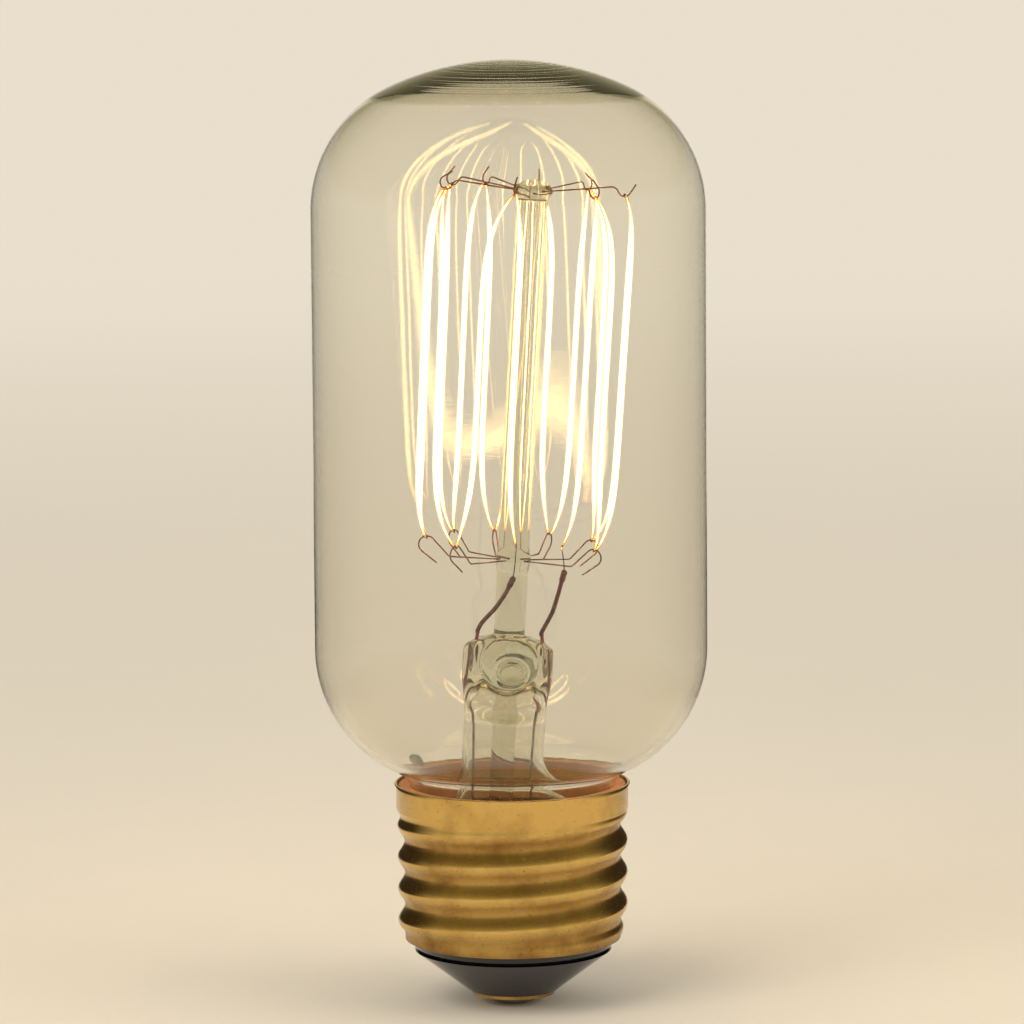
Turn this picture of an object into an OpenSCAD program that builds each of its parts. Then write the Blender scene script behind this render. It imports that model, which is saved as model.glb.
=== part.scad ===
// Squirrel-cage filament lamp: a clear tubular glass bulb on a medium screw base, lit from
// a long filament that zigzags between two rings of fine wire hooks.
// The origin is the middle of the contact tip and +Z runs up the bulb. Sizes are in millimetres.

/* [Bulb] */
// Height from the contact tip to the crown of the glass
overall_h = 107.4; // [104:0.1:120]
// Outer radius of the straight glass wall
bulb_r = 22.25; // [20.5:0.05:25]
// Thickness of the glass wall
glass_t = 0.7; // [0.5:0.05:0.9]
// Radius of the shoulders above and below the straight wall
shoulder_r = 15.3; // [13:0.1:17]
// Radius of the crown
crown_r = 31.5; // [28:0.1:40]
// Radius of the fillet between the neck and the lower shoulder
neck_fillet_r = 2.5; // [1.5:0.1:3.5]
// How far that fillet reaches down below the rim of the base
neck_drop = 0.75; // [0.4:0.05:1.2]

/* [Screw base] */
// Height of the shell's rim above the contact tip
shell_h = 25.4; // [24.5:0.1:27]
// Outer radius of the smooth collar at the top of the shell
collar_r = 13.2; // [13.1:0.05:13.6]
// Height of the smooth collar
collar_h = 2.6; // [2:0.1:3.5]
// Thickness of the shell's brass sheet
sheet_t = 0.3; // [0.2:0.05:0.4]
// How far the rim turns outwards
rim_flare = 0.2; // [0.1:0.05:0.5]
// Height of the turned rim
rim_h = 0.5; // [0.3:0.1:1]
// Pitch of the medium screw thread
thread_pitch = 3.629; // [3:0.001:4.2]
// Height of the threaded stretch
thread_h = 14.5; // [13:0.1:15.5]
// Depth of the rolled thread
thread_depth = 0.8; // [0.5:0.05:0.9]
// How far the crests stay inside the collar's radius
crest_clear = 0.1; // [0.05:0.05:0.3]
// Height of the conical lip under the thread
lip_h = 1.6; // [1.2:0.1:2]
// How far the lip draws in
lip_in = 1.1; // [0.8:0.1:1.6]

/* [Base insulator and contact] */
// Radius of the centre contact's disc
contact_r = 4.7; // [4:0.1:5.5]
// Thickness of the centre contact's disc
contact_t = 0.45; // [0.3:0.05:0.6]
// Bore radius of the eyelet that the centre wire goes through
eyelet_bore_r = 1.3; // [1:0.1:1.6]
// Wall of the eyelet
eyelet_t = 0.4; // [0.3:0.05:0.6]
// Height of the eyelet above the contact's disc
eyelet_h = 3.1; // [2.5:0.1:3.5]
// Height of the solder dome under the disc
tip_h = 1.05; // [0.8:0.05:1.3]
// Radius of the solder dome where it meets the disc
tip_r = 3; // [2.4:0.1:3.6]
// Radius of the flat at the foot of the solder dome
tip_flat_r = 1.4; // [1:0.1:1.8]
// Height of the glass insulator's wall inside the shell, above the lip
insulator_in_h = 1.7; // [1.2:0.1:2.4]
// Wall of the glass insulator
insulator_t = 1.6; // [1.3:0.1:2]

/* [Cement and solder] */
// Thickness of the cement between the neck and the collar
cement_t = 1.2; // [1.05:0.05:1.5]
// Depth of the cement's face below the rim
cement_drop = 0.2; // [0.1:0.05:0.5]
// Radius of the solder bead on the rim
side_solder_r = 0.9; // [0.7:0.05:1]
// Direction of the solder bead round the rim
side_solder_az = 152; // [130:1:175]

/* [Glass stem] */
// Depth of the seal between the flare and the neck below the shell's rim
seal_drop = 3.9; // [3.4:0.1:4.4]
// Lean of the stem and the cage to the right
stem_lean = 3.4; // [0:0.1:4]
// How far the stem's axis stands to the side of the bulb's axis at the seal
stem_shift = -1.45; // [-2:0.05:0]
// Outer radius of the flare's tube
tube_r = 4.65; // [4.4:0.05:5]
// Wall of the flare
tube_t = 0.65; // [0.5:0.05:0.8]
// Height of the press's foot above the seal, along the stem
press_foot = 11.9; // [11:0.1:13]
// Height of the press
press_h = 8.8; // [8:0.1:10]
// Half width of the press across the lead wires
press_w = 5.15; // [5:0.05:5.6]
// Half thickness of the press
press_d = 2.3; // [2.2:0.05:2.6]
// Height of the hollow in the press's foot
hollow_h = 2.6; // [2.2:0.1:3]
// Radius of the vent from the exhaust tube through the press
vent_r = 0.75; // [0.5:0.05:0.9]
// Outer radius of the exhaust tube
exhaust_r = 1.35; // [1.2:0.05:1.5]
// Wall of the exhaust tube
exhaust_t = 0.5; // [0.3:0.05:0.6]
// Length of the exhaust tube down to its sealed tip
exhaust_l = 25.5; // [22:0.1:27]

/* [Arbor] */
// Radius of the glass arbor rod
arbor_r = 1.77; // [1.5:0.01:1.9]
// Swell of the rod where the lower hooks go in
arbor_swell = 0.2; // [0:0.05:0.4]
// Radius of the glass button on top of the rod
button_r = 2.3; // [2:0.05:2.8]
// Height of the button
button_h = 2.5; // [2:0.1:3]

/* [Cage] */
// How far the upper ring of hooks stays below the crown of the glass
crown_gap = 14.7; // [12:0.1:18]
// Radius of the upper ring of hooks
upper_ring_r = 10.3; // [9:0.1:11.5]
// Height of the lower ring of hooks above the seal, along the stem
lower_s = 31.6; // [30.5:0.1:34]
// Radius of the lower ring of hooks
lower_ring_r = 9.85; // [9:0.05:11]
// Radius of the hook wire
hook_wire_r = 0.1; // [0.08:0.01:0.14]
// Radius of the crook that the filament hangs in
crook_r = 0.75; // [0.6:0.05:0.9]
// Rise of the upper hooks from the button, in degrees
hook_rise = 7; // [0:1:12]
// Height of the lower hooks' crooks above their roots
hook_drop = 2.2; // [1.8:0.1:2.6]
// Radius of the lower crooks
lower_crook_r = 0.95; // [0.7:0.05:1.1]
// How far the hook wire goes into the glass
hook_root = 0.9; // [0.5:0.1:1.1]
// Length of the upper hooks' free ends
free_end = 1.8; // [0.8:0.1:2]
// Length of the lower hooks' free ends
lower_free_end = 2.2; // [0.8:0.1:2.6]
// How far the legs of the filament belly out between the rings
cage_belly = 1.4; // [0:0.1:3]
// Directions of the upper hooks, in the order of the filament
upper_az = [259, 200, 152, 121, 86, 52, -2, -49];
// Directions of the lower hooks, in the order of the filament
lower_az = [229, 178, 134, 103, 66, 27, -25];
// Directions of the filament's two ends
end_az = [271, -58];
// Places round their crooks where the upper hooks' free ends leave, in degrees from outwards
upper_end = [58, 60, 40, 50, 50, 58, -30, 50];

/* [Filament and leads] */
// Radius of the coiled filament along its legs
filament_r = 0.34; // [0.2:0.01:0.4]
// Radius of the filament where it is drawn out over a hook
filament_hook_r = 0.12; // [0.08:0.01:0.16]
// Radius of the filament's bend over a hook
bend_r = 0.5; // [0.4:0.05:0.7]
// Share of a leg over which the filament grows to its full radius
taper = 0.17; // [0.1:0.01:0.3]
// Radius of the inner lead wires
inner_lead_r = 0.25; // [0.2:0.01:0.3]
// Radius of the sealed lead wires in the press
dumet_r = 0.2; // [0.15:0.01:0.22]
// Radius of the outer lead wires
outer_lead_r = 0.15; // [0.12:0.01:0.18]
// Radius of the clamps that hold the filament's ends
clamp_r = 0.34; // [0.3:0.01:0.45]
// Length of the clamps
clamp_l = 1.5; // [1:0.1:2]

/* [Hidden] */
upper_names = [for (i = [1:len(upper_az)]) str("upper_hook_", i)];
lower_names = [for (i = [1:len(lower_az)]) str("lower_hook_", i)];
fit_gap = 0.05;
wire_sides = 6;
glass_sides = 32;
clear_glass = [0.93, 0.95, 0.94, 0.35];
hook_metal = [0.42, 0.38, 0.36];
lead_metal = [0.55, 0.3, 0.2];
solder_metal = [0.72, 0.73, 0.74];

// Heights and radii of the base, from the contact tip up
contact_top = tip_h + contact_t;
seal_z = shell_h - seal_drop;
thread_top = shell_h - rim_h - collar_h;
thread_foot = thread_top - thread_h;
lip_foot = thread_foot - lip_h;
crest_r = collar_r - crest_clear;
root_r = crest_r - thread_depth;
root_in_r = root_r - sheet_t;
lip_r = root_r - lip_in;
collar_in_r = collar_r - sheet_t;
eyelet_r = eyelet_bore_r + eyelet_t;
// The rolled thread laps this far into the plain walls above and below it, inside their faces
lap = 0.3;
lap_in = 0.07;
// The thread runs out over this height at each end
thread_run = 1.2;
thread_sides = 36;
thread_rows = ceil(8 * thread_h / thread_pitch);

// Centres of the bulb's arcs, each as radius and height, and the angles where the arcs meet
neck_r = collar_in_r - cement_t;
neck_in_r = neck_r - glass_t;
fillet_c = [neck_r + neck_fillet_r, shell_h - neck_drop];
shoulder_x = bulb_r - shoulder_r;
low_z = fillet_c.y + sqrt(pow(shoulder_r + neck_fillet_r, 2) - pow(fillet_c.x - shoulder_x, 2));
crown_z = overall_h - crown_r;
top_z = crown_z + sqrt(pow(crown_r - shoulder_r, 2) - pow(shoulder_x, 2));
low_a = atan2(fillet_c.y - low_z, fillet_c.x - shoulder_x);
top_a = atan2(top_z - crown_z, shoulder_x);

// Heights along the stem's own axis, from the seal up
flare_bend = neck_in_r - tube_r;
flare_top = tube_t + flare_bend;
tube_in_r = tube_r - tube_t;
press_top = press_foot + press_h;
hollow_top = press_foot + hollow_h;
// Height of the upper ring of hooks
upper_s = overall_h - crown_gap - seal_z;
// The crest and the crook of an upper hook are two arcs that meet at this tilt
crook_tilt = 20;
crest_c = [upper_ring_r - 2 * crook_r * cos(crook_tilt),
    upper_s + crook_r - 2 * crook_r * sin(crook_tilt)];
crest_start = crest_c + crook_r * [cos(90 + hook_rise), sin(90 + hook_rise)];
button_root = button_r - hook_root;
button_s = crest_start.y - (crest_start.x - button_root) * tan(hook_rise);
rod_top = button_s - button_h / 2;
lower_root = arbor_r + arbor_swell - hook_root;
swell_s = lower_s - hook_drop;
swell_half = 1.6;
// A lower hook turns up with this radius at lower_run_r and rises at this slope to its crook
lower_turn_r = 0.5;
lower_slope = 45;
lower_run_r = lower_ring_r - (lower_crook_r + lower_turn_r) * sin(lower_slope)
    - (hook_drop - (lower_crook_r + lower_turn_r) * (1 - cos(lower_slope))) / tan(lower_slope);

// A lead runs straight for this length on both sides of a joint
wire_bend = 0.4;
// Points that the lead wires pass in the stem's frame: from the top of the press down through
// its glass into the hollow of its foot,
dumet_1 = [in_press(-0.7, 1.02), in_press(-0.74, 0.81), in_press(-0.77, 0.58),
    in_press(-0.82, 0.35), in_press(-0.8, 0.17), in_press(-0.69, 0.03)];
dumet_2 = [in_press(0.72, 1.02), in_press(0.77, 0.81), in_press(0.82, 0.58),
    in_press(0.82, 0.35), in_press(0.77, 0.19), in_press(0.66, 0.05)];
// and from there up to the clamps
inner_1 = [dumet_1[0], onward(reversed(dumet_1), wire_bend), to_cage(-0.31, -0.08, 0.15),
    to_cage(-0.18, -0.3, 0.32), to_cage(-0.08, -0.57, 0.5), to_cage(-0.03, -0.74, 0.62)];
inner_2 = [dumet_2[0], onward(reversed(dumet_2), wire_bend), to_cage(0.42, -0.07, 0.16),
    to_cage(0.48, -0.25, 0.31), to_cage(0.52, -0.47, 0.49), to_cage(0.56, -0.71, 0.7)];
// The filament starts and ends beside the lower ring and hangs on upper and lower hooks in turn
end_s = lower_s + 0.6;
hang = hook_wire_r + filament_hook_r;
// Its turning points, each as direction, radius and height
turns = [[end_az[0], lower_ring_r, end_s],
    for (i = [0:len(upper_az) - 1]) each [[upper_az[i], upper_ring_r, upper_s + hang],
        i < len(lower_az) ? [lower_az[i], lower_ring_r, lower_s - hang]
            : [end_az[1], lower_ring_r, end_s]]];
leg_steps = 24;
lead_steps = 4;
// Powers that say how soon a leg has swung away from its hook and how soon it has bellied out
swing_power = 9;
belly_power = 8;

function unit(v) = v / norm(v);
function mix(a, b, t) = a + (b - a) * t;
function clamp01(x) = min(1, max(0, x));
function ease(x) = let (t = clamp01(x)) t * t * (3 - 2 * t);
function last(list) = list[len(list) - 1];
function reversed(list) = [for (i = [len(list) - 1:-1:0]) list[i]];
// The direction in which a wire through these points ends, and a place d further on
function end_run(p) = unit(last(p) - p[len(p) - 2]);
function onward(p, d) = last(p) + d * end_run(p);
function polar(r, az, z) = [r * cos(az), r * sin(az), z];
// n steps of an arc about c, without its first point, so that arcs can follow each other
function arc(c, r, a0, a1, n) =
    [for (i = [1:n]) let (a = mix(a0, a1, i / n)) c + r * [cos(a), sin(a)]];
// Places in the stem's frame: in the press, at shares of its half width and height, and between
// the press and the cage, at shares of the lower ring's radius and of the height between them
function in_press(x, h) = [x * press_w, 0, mix(press_foot, press_top, h)];
function to_cage(x, y, h) = [x * lower_ring_r, y * lower_ring_r, mix(press_top, lower_s, h)];
// A place given in the stem's frame, in the bulb's frame
function from_stem(p) = [stem_shift + p.x * cos(stem_lean) + p.z * sin(stem_lean), p.y,
    seal_z - p.x * sin(stem_lean) + p.z * cos(stem_lean)];
// A smooth curve through the points, each stretch in n steps
function spline(p, n) = [for (i = [0:len(p) - 2]) let (a = p[max(i - 1, 0)], b = p[i],
        c = p[i + 1], d = p[min(i + 2, len(p) - 1)])
    for (j = [0:n - 1]) let (t = j / n)
        0.5 * (2 * b + (c - a) * t + (2 * a - 5 * b + 4 * c - d) * t * t
            + (3 * b - a - 3 * c + d) * t * t * t), last(p)];

// A skin of triangles over rings of points, each ring counter-clockwise seen from the last one
module skin(rings, closed = false) {
  n = len(rings);
  m = len(rings[0]);
  sides = [for (i = [0:n - (closed ? 1 : 2)]) let (a = i * m, b = ((i + 1) % n) * m)
      for (k = [0:m - 1]) let (l = (k + 1) % m)
        each [[a + k, b + k, b + l], [a + k, b + l, a + l]]];
  ends = closed ? [] : [for (k = [1:m - 2])
      each [[0, k, k + 1], [(n - 1) * m, (n - 1) * m + k + 1, (n - 1) * m + k]]];
  polyhedron([for (ring = rings) each ring], concat(sides, ends));
}

// A round wire along points p. r is its radius, or one for each point, and across is a direction
// that the wire never runs in, or one for each point.
module wire(p, r, across) {
  n = len(p);
  skin([for (i = [0:n - 1])
    let (run = unit(p[min(i + 1, n - 1)] - p[max(i - 1, 0)]),
        u = unit(cross(run, is_list(across[0]) ? across[i] : across)),
        v = cross(run, u),
        radius = is_list(r) ? r[i] : r)
    [for (k = [0:wire_sides - 1]) let (a = 360 * k / wire_sides)
        p[i] + radius * (cos(a) * u + sin(a) * v)]]);
}

// Places what is drawn in the stem's frame
module on_stem() {
  translate([stem_shift, 0, seal_z]) rotate([0, stem_lean, 0]) children();
}

// Outline of the glass, t inside its outer face, from the neck's foot to the crown
function outline(t) = concat(
    [[neck_r - t, seal_z], [neck_r - t, fillet_c.y]],
    arc(fillet_c, neck_fillet_r + t, 180, 180 + low_a, 6),
    arc([shoulder_x, low_z], shoulder_r - t, low_a, 0, 20),
    [[bulb_r - t, top_z]],
    arc([shoulder_x, top_z], shoulder_r - t, 0, top_a, 20),
    arc([0, crown_z], crown_r - t, top_a, 90, 8));

module envelope() {
  color(clear_glass)
    rotate_extrude() polygon(concat(outline(0), reversed(outline(glass_t))));
}

// A ring of the flare: centred on the neck at the seal, and in the stem's frame at the tube
function flare_ring(p) = let (w = ease((p.y - tube_t) / flare_bend))
    [for (k = [0:glass_sides - 1]) let (c = polar(p.x, 360 * k / glass_sides, p.y))
        mix(c + [0, 0, seal_z], from_stem(c), w)];

module stem_flare() {
  bend_c = [neck_in_r, flare_top];
  outside = concat([[neck_in_r, tube_t]], arc(bend_c, flare_bend, 270, 180, 9),
      [[tube_r, press_foot]]);
  inside = concat([[tube_in_r, press_foot], [tube_in_r, flare_top]],
      arc(bend_c, flare_bend + tube_t, 180, 270, 9));
  color(clear_glass) skin([for (p = concat(outside, inside)) flare_ring(p)], closed = true);
}

// A rounded oval of half width a and half thickness b at height s; p squares its corners
function oval(a, b, p, s) = [for (k = [0:glass_sides - 1]) let (t = 360 * k / glass_sides)
    [a * sign(cos(t)) * pow(abs(cos(t)), 2 / p), b * sign(sin(t)) * pow(abs(sin(t)), 2 / p), s]];

// The press's outside at share f of its height: round at the foot, then flat, rounded on top
function press_ring(f) =
    let (m = ease(f / 0.5), edge = 1 - sqrt(1 - pow(clamp01((f - 0.88) / 0.12), 2)))
    oval(mix(tube_r, press_w, m) - 0.9 * edge, mix(tube_r, press_d, m) - 0.45 * edge,
        2 + 0.6 * m, press_foot + press_h * f);

// The hollow in the press's foot at share h of its height
function hollow_ring(h) = let (k = 1 - sqrt(1 - h * h))
    oval(tube_in_r - 1.5 * k, mix(tube_in_r, exhaust_r + 0.3, k), 2, press_foot + hollow_h * h);

module stem_press() {
  vent_at = [0.5, hollow_top + 1.5];
  color(clear_glass) on_stem() difference() {
    union() {
      skin(concat([for (h = [1, 0.98, 0.9, 0.75, 0.5, 0.25, 0]) hollow_ring(h)],
          [for (f = [0, 0.08, 0.16, 0.24, 0.32, 0.4, 0.5, 0.88, 0.92, 0.96, 0.985, 1])
            press_ring(f)]));
      translate([vent_at.x, 0.8 * vent_r - press_d, vent_at.y]) sphere(r = 2 * vent_r, $fn = 48);
    }
    translate([0, 0, hollow_top - fit_gap])
      cylinder(h = vent_at.y - hollow_top + fit_gap, r = vent_r, $fn = 32);
    translate([vent_at.x, 0, vent_at.y])
      rotate([90, 0, 0]) cylinder(h = 2 * press_d, r = vent_r, $fn = 32);
    dumet(dumet_1);
    dumet(dumet_2);
  }
}

// The tube that the bulb was pumped through, drawn out and sealed at its foot
module exhaust_tube() {
  bore_r = exhaust_r - exhaust_t;
  foot = hollow_top - exhaust_l;
  draw_h = 3;
  drawn_r = 0.7;
  color(clear_glass) on_stem() rotate_extrude() polygon(concat(
      [[exhaust_r, hollow_top], [exhaust_r, foot + draw_h], [drawn_r, foot + drawn_r]],
      arc([0, foot + drawn_r], drawn_r, 0, -90, 6),
      [[0, foot + draw_h], [bore_r, foot + draw_h + 1.5], [bore_r, hollow_top]]));
}

module arbor_rod() {
  swell = [for (i = [-4:4])
      [arbor_r + arbor_swell * (0.5 + 0.5 * cos(45 * i)), swell_s + swell_half * i / 4]];
  color(clear_glass) on_stem() difference() {
    rotate_extrude() polygon(concat([[0, press_top], [arbor_r, press_top]], swell,
        [[arbor_r, rod_top], [0, rod_top]]));
    for (az = lower_az) rotate(az) hook(lower_root_path());
  }
}

module arbor_button() {
  side = [for (a = [-50:12.5:75]) [button_r * cos(a), button_s + button_h / 2 * sin(a)]];
  color(clear_glass) on_stem() difference() {
    rotate_extrude() polygon(concat([[0, rod_top], [arbor_r, rod_top]], side,
        [[0, button_s + button_h / 2]]));
    for (az = upper_az) rotate(az) hook(upper_root_path());
  }
}

// Hooks lie in an upright plane through the stem's axis; their points are radius and height
module hook(p) {
  wire([for (q = p) [q.x, 0, q.y]], hook_wire_r, [0, 1, 0]);
}

function upper_root_path() = [[button_root, button_s], crest_start];
function lower_root_path() = [[lower_root, swell_s], [lower_run_r, swell_s]];

// Out from the button, over a crest, down round the crook and back up over itself
function upper_path(end_a) =
    let (crook = arc([upper_ring_r, upper_s + crook_r], crook_r, 180 + crook_tilt, 360 + end_a, 12))
    concat(upper_root_path(), arc(crest_c, crook_r, 90 + hook_rise, crook_tilt, 5), crook,
        [last(crook) + free_end * [cos(end_a + 90), sin(end_a + 90)]]);

// Out from the rod, up, and over the crook with the free end pointing back down
function lower_path() =
    let (end_a = -54, c = [lower_ring_r, lower_s - lower_crook_r], start_a = 90 + lower_slope,
        crook = arc(c, lower_crook_r, start_a, end_a, 10))
    concat(lower_root_path(),
        arc([lower_run_r, swell_s + lower_turn_r], lower_turn_r, 270, 270 + lower_slope, 3),
        [c + lower_crook_r * [cos(start_a), sin(start_a)]], crook,
        [last(crook) + lower_free_end * [cos(end_a - 90), sin(end_a - 90)]]);

module upper_hook(i) {
  color(hook_metal) on_stem() rotate(upper_az[i]) hook(upper_path(upper_end[i]));
}

module lower_hook(i) {
  color(hook_metal) on_stem() rotate(lower_az[i]) hook(lower_path());
}

// How far a leg has run in height at share x of its length, with bends of sharpness e0 and e1
function rise(x, e0, e1) = x < 0.5 ? half_rise(x, e0) : 1 - half_rise(1 - x, e1);
function half_rise(x, e) = 0.5 * (sqrt(x * x + e * e) - e) / (sqrt(0.25 + e * e) - e);
// A leg swings quickly to the direction halfway between its two hooks and runs straight there
function swing(x) = 0.5 + 0.5 * pow(2 * x - 1, swing_power);
function grow(x) = x > 1 ? 1 : 1 - pow(1 - x, 2);

// Places along leg i, as [point, radius] pairs, from its first turning point almost to its second
function leg(i) = let (a = turns[i], b = turns[i + 1], height = abs(b.z - a.z),
    side = swing_power * a.y * abs(b.x - a.x) * PI / 180, e = bend_r * height / (side * side))
    [for (j = [0:leg_steps - 1]) let (x = 0.5 - 0.5 * cos(180 * j / leg_steps),
        belly = cage_belly * (1 - pow(2 * x - 1, belly_power)))
      [polar(mix(a.y, b.y, x) + belly, mix(a.x, b.x, swing(x)),
          mix(a.z, b.z, rise(x, i == 0 ? 0 : e, i == len(turns) - 2 ? 0 : e))),
        mix(filament_hook_r, filament_r, grow(min(x, 1 - x) / taper))]];

// From the clamp at the end of a lead to the filament's end, without the last point
function tail(lead, turn) = let (run = end_run(spline(lead, lead_steps)),
    from = last(lead) + clamp_l * run, to = polar(turn.y, turn.x, turn.z))
    [for (i = [0:4]) let (t = i / 5)
      [pow(1 - t, 2) * from + 2 * t * (1 - t) * (from + 0.8 * run) + t * t * to, filament_hook_r]];

module filament() {
  end = last(turns);
  path = concat(tail(inner_1, turns[0]), [for (i = [0:len(turns) - 2]) each leg(i)],
      [[polar(end.y, end.x, end.z), filament_hook_r]], reversed(tail(inner_2, end)));
  points = [for (q = path) q[0]];
  least = min([for (i = [0:2:len(path) - 1]) for (j = [i + 10:2:len(path) - 1])
      norm(points[i] - points[j]) - path[i][1] - path[j][1]]);
  echo("Least gap between two runs of the filament, in mm", least);
  color("lemonchiffon") on_stem()
    wire(points, [for (q = path) q[1]], [for (q = points) [q.x, q.y, 0]]);
}

module inner_lead(p) {
  color(lead_metal) on_stem() wire(spline(p, lead_steps), inner_lead_r, [1, 0, 0]);
}

// The clamp grips the filament's end in line with the lead
module lead_clamp(p) {
  run = end_run(spline(p, lead_steps));
  color(lead_metal) on_stem() translate(last(p))
    rotate([0, acos(run.z), atan2(run.y, run.x)]) cylinder(h = clamp_l, r = clamp_r);
}

module dumet(p) {
  wire(reversed(spline(p, 3)), dumet_r, [0, 1, 0]);
}

module dumet_wire(p) {
  color("indianred") on_stem() dumet(p);
}

module outer_lead(p) {
  color(lead_metal) wire(p, outer_lead_r, [0, 1, 0]);
}

// A place beside the rim where the side wire comes over it, and one inside the flare's tube
function by_rim(r, z) = polar(r, side_solder_az, z);
function in_flare(x, y, h) = from_stem([x * tube_r, y * tube_r, h * press_foot]);
// From the press down inside the flare, round the neck's foot, up through the cement and over
side_wire = reversed(spline([from_stem(last(dumet_1)), from_stem(onward(dumet_1, wire_bend)),
    in_flare(-0.75, 0, 0.83), in_flare(-0.71, 0, 0.28), in_flare(-0.69, 0.06, -0.1),
    by_rim(0.62 * neck_r, seal_z - 3.1), by_rim(0.84 * neck_r, seal_z - 3.1),
    by_rim(neck_r - 0.3, seal_z - 1.2), by_rim(neck_r + 0.3, seal_z - 0.2),
    by_rim(neck_r + 0.45, thread_top), by_rim(neck_r + cement_t / 2, shell_h - 1),
    by_rim(collar_r - 0.5, shell_h + 0.35), by_rim(collar_r + 0.3, shell_h + 0.3)], lead_steps));
// From the press down beside the exhaust tube and through the eyelet to the tip
tip_wire = reversed(spline([from_stem(last(dumet_2)), from_stem(onward(dumet_2, wire_bend)),
    in_flare(0.73, 0, 0.78), in_flare(0.69, -0.08, 0.19), in_flare(0.74, -0.1, -0.45),
    [eyelet_bore_r * 0.75, 0, thread_foot + insulator_in_h], [0, 0, contact_top + eyelet_h],
    [0, 0, contact_top], [0, 0, tip_h]], lead_steps));

// Radius of the thread's outer face at height z and direction a: a round-topped right-hand thread
function thread_r(z, a) = crest_r
    - thread_depth * (0.5 - 0.5 * cos(360 * ((z - thread_foot) / thread_pitch - a / 360)));
// Share of full thread at height z: it runs out into the collar above and the lip below
function full_up(z) = clamp01((thread_top - z) / thread_run);
function full_down(z) = clamp01((z - thread_foot) / thread_run);
function thread_ring(z, in) = let (collar = in ? collar_in_r + lap_in : collar_r - lap_in,
    root = in ? root_in_r + lap_in : root_r - lap_in)
    [for (k = [0:thread_sides - 1]) let (a = 360 * k / thread_sides,
        r = thread_r(z, a) - (in ? sheet_t : 0))
      polar(mix(collar, mix(root, r, full_down(z)), full_up(z)), a, z)];

module screw_shell() {
  rows = concat([thread_foot - lap], [for (i = [0:thread_rows]) thread_foot + thread_h * i / thread_rows],
      [thread_top + lap]);
  color("goldenrod") union() {
    rotate_extrude() polygon([[collar_r, thread_top], [collar_r, shell_h - rim_h],
        [collar_r + rim_flare, shell_h], [collar_in_r + rim_flare, shell_h],
        [collar_in_r, shell_h - rim_h], [collar_in_r, thread_top]]);
    skin(concat([for (z = rows) thread_ring(z, false)], [for (z = reversed(rows)) thread_ring(z, true)]),
        closed = true);
    rotate_extrude() polygon([[lip_r, lip_foot], [root_r, thread_foot - lap], [root_r, thread_foot],
        [root_in_r, thread_foot], [root_in_r, thread_foot - lap], [lip_r - sheet_t, lip_foot]]);
  }
}

module base_insulator() {
  inside = root_in_r - fit_gap;
  lip_inside = lip_r - sheet_t - fit_gap;
  wall_top = thread_foot + insulator_in_h;
  floor_z = contact_top + insulator_t;
  color([0.08, 0.08, 0.09]) rotate_extrude() polygon([
      [eyelet_r + fit_gap, contact_top], [contact_r + 0.4, contact_top],
      [contact_r + 0.9, contact_top + 0.4],
      [lip_r, lip_foot - fit_gap], [lip_inside, lip_foot - fit_gap],
      [inside, thread_foot - lap], [inside, wall_top], [inside - insulator_t, wall_top],
      [lip_inside - insulator_t, lip_foot], [contact_r - 0.5, floor_z], [eyelet_r + fit_gap, floor_z]]);
}

module centre_contact() {
  color("goldenrod") rotate_extrude() polygon([[eyelet_bore_r, tip_h], [contact_r, tip_h],
      [contact_r, contact_top], [eyelet_r, contact_top], [eyelet_r, contact_top + eyelet_h],
      [eyelet_bore_r, contact_top + eyelet_h]]);
}

module tip_solder() {
  side = [for (a = [0:15:90])
      [tip_flat_r + (tip_r - tip_flat_r) * sin(a), tip_h * (1 - cos(a))]];
  color(solder_metal) rotate_extrude() polygon(concat([[0, 0]], side, [[0, tip_h]]));
}

module side_solder() {
  color(solder_metal) difference() {
    translate(by_rim(collar_r, shell_h - rim_h + side_solder_r)) sphere(r = side_solder_r, $fn = 48);
    translate([0, 0, shell_h - 2]) cylinder(h = 2, r = collar_r + rim_flare, $fn = 96);
    outer_lead(side_wire);
  }
}

module basing_cement() {
  color("tan") difference() {
    rotate_extrude() difference() {
      translate([0, thread_top]) square([collar_in_r, shell_h - cement_drop - thread_top]);
      polygon(concat([[0, seal_z]], outline(0)));
    }
    outer_lead(side_wire);
  }
}

envelope();
stem_flare();
stem_press();
exhaust_tube();
arbor_rod();
arbor_button();
filament();
inner_lead(inner_1);  // inner_lead_1
inner_lead(inner_2);  // inner_lead_2
lead_clamp(inner_1);  // lead_clamp_1
lead_clamp(inner_2);  // lead_clamp_2
dumet_wire(dumet_1);  // dumet_wire_1
dumet_wire(dumet_2);  // dumet_wire_2
outer_lead(side_wire);  // outer_lead_1
outer_lead(tip_wire);  // outer_lead_2
screw_shell();
base_insulator();
centre_contact();
tip_solder();
side_solder();
basing_cement();
for (i = [0:len(upper_az) - 1]) upper_hook(i);
for (i = [0:len(lower_az) - 1]) lower_hook(i);
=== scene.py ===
"""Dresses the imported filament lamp: blown glass, coiled filament, wires and screw base."""

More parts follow.
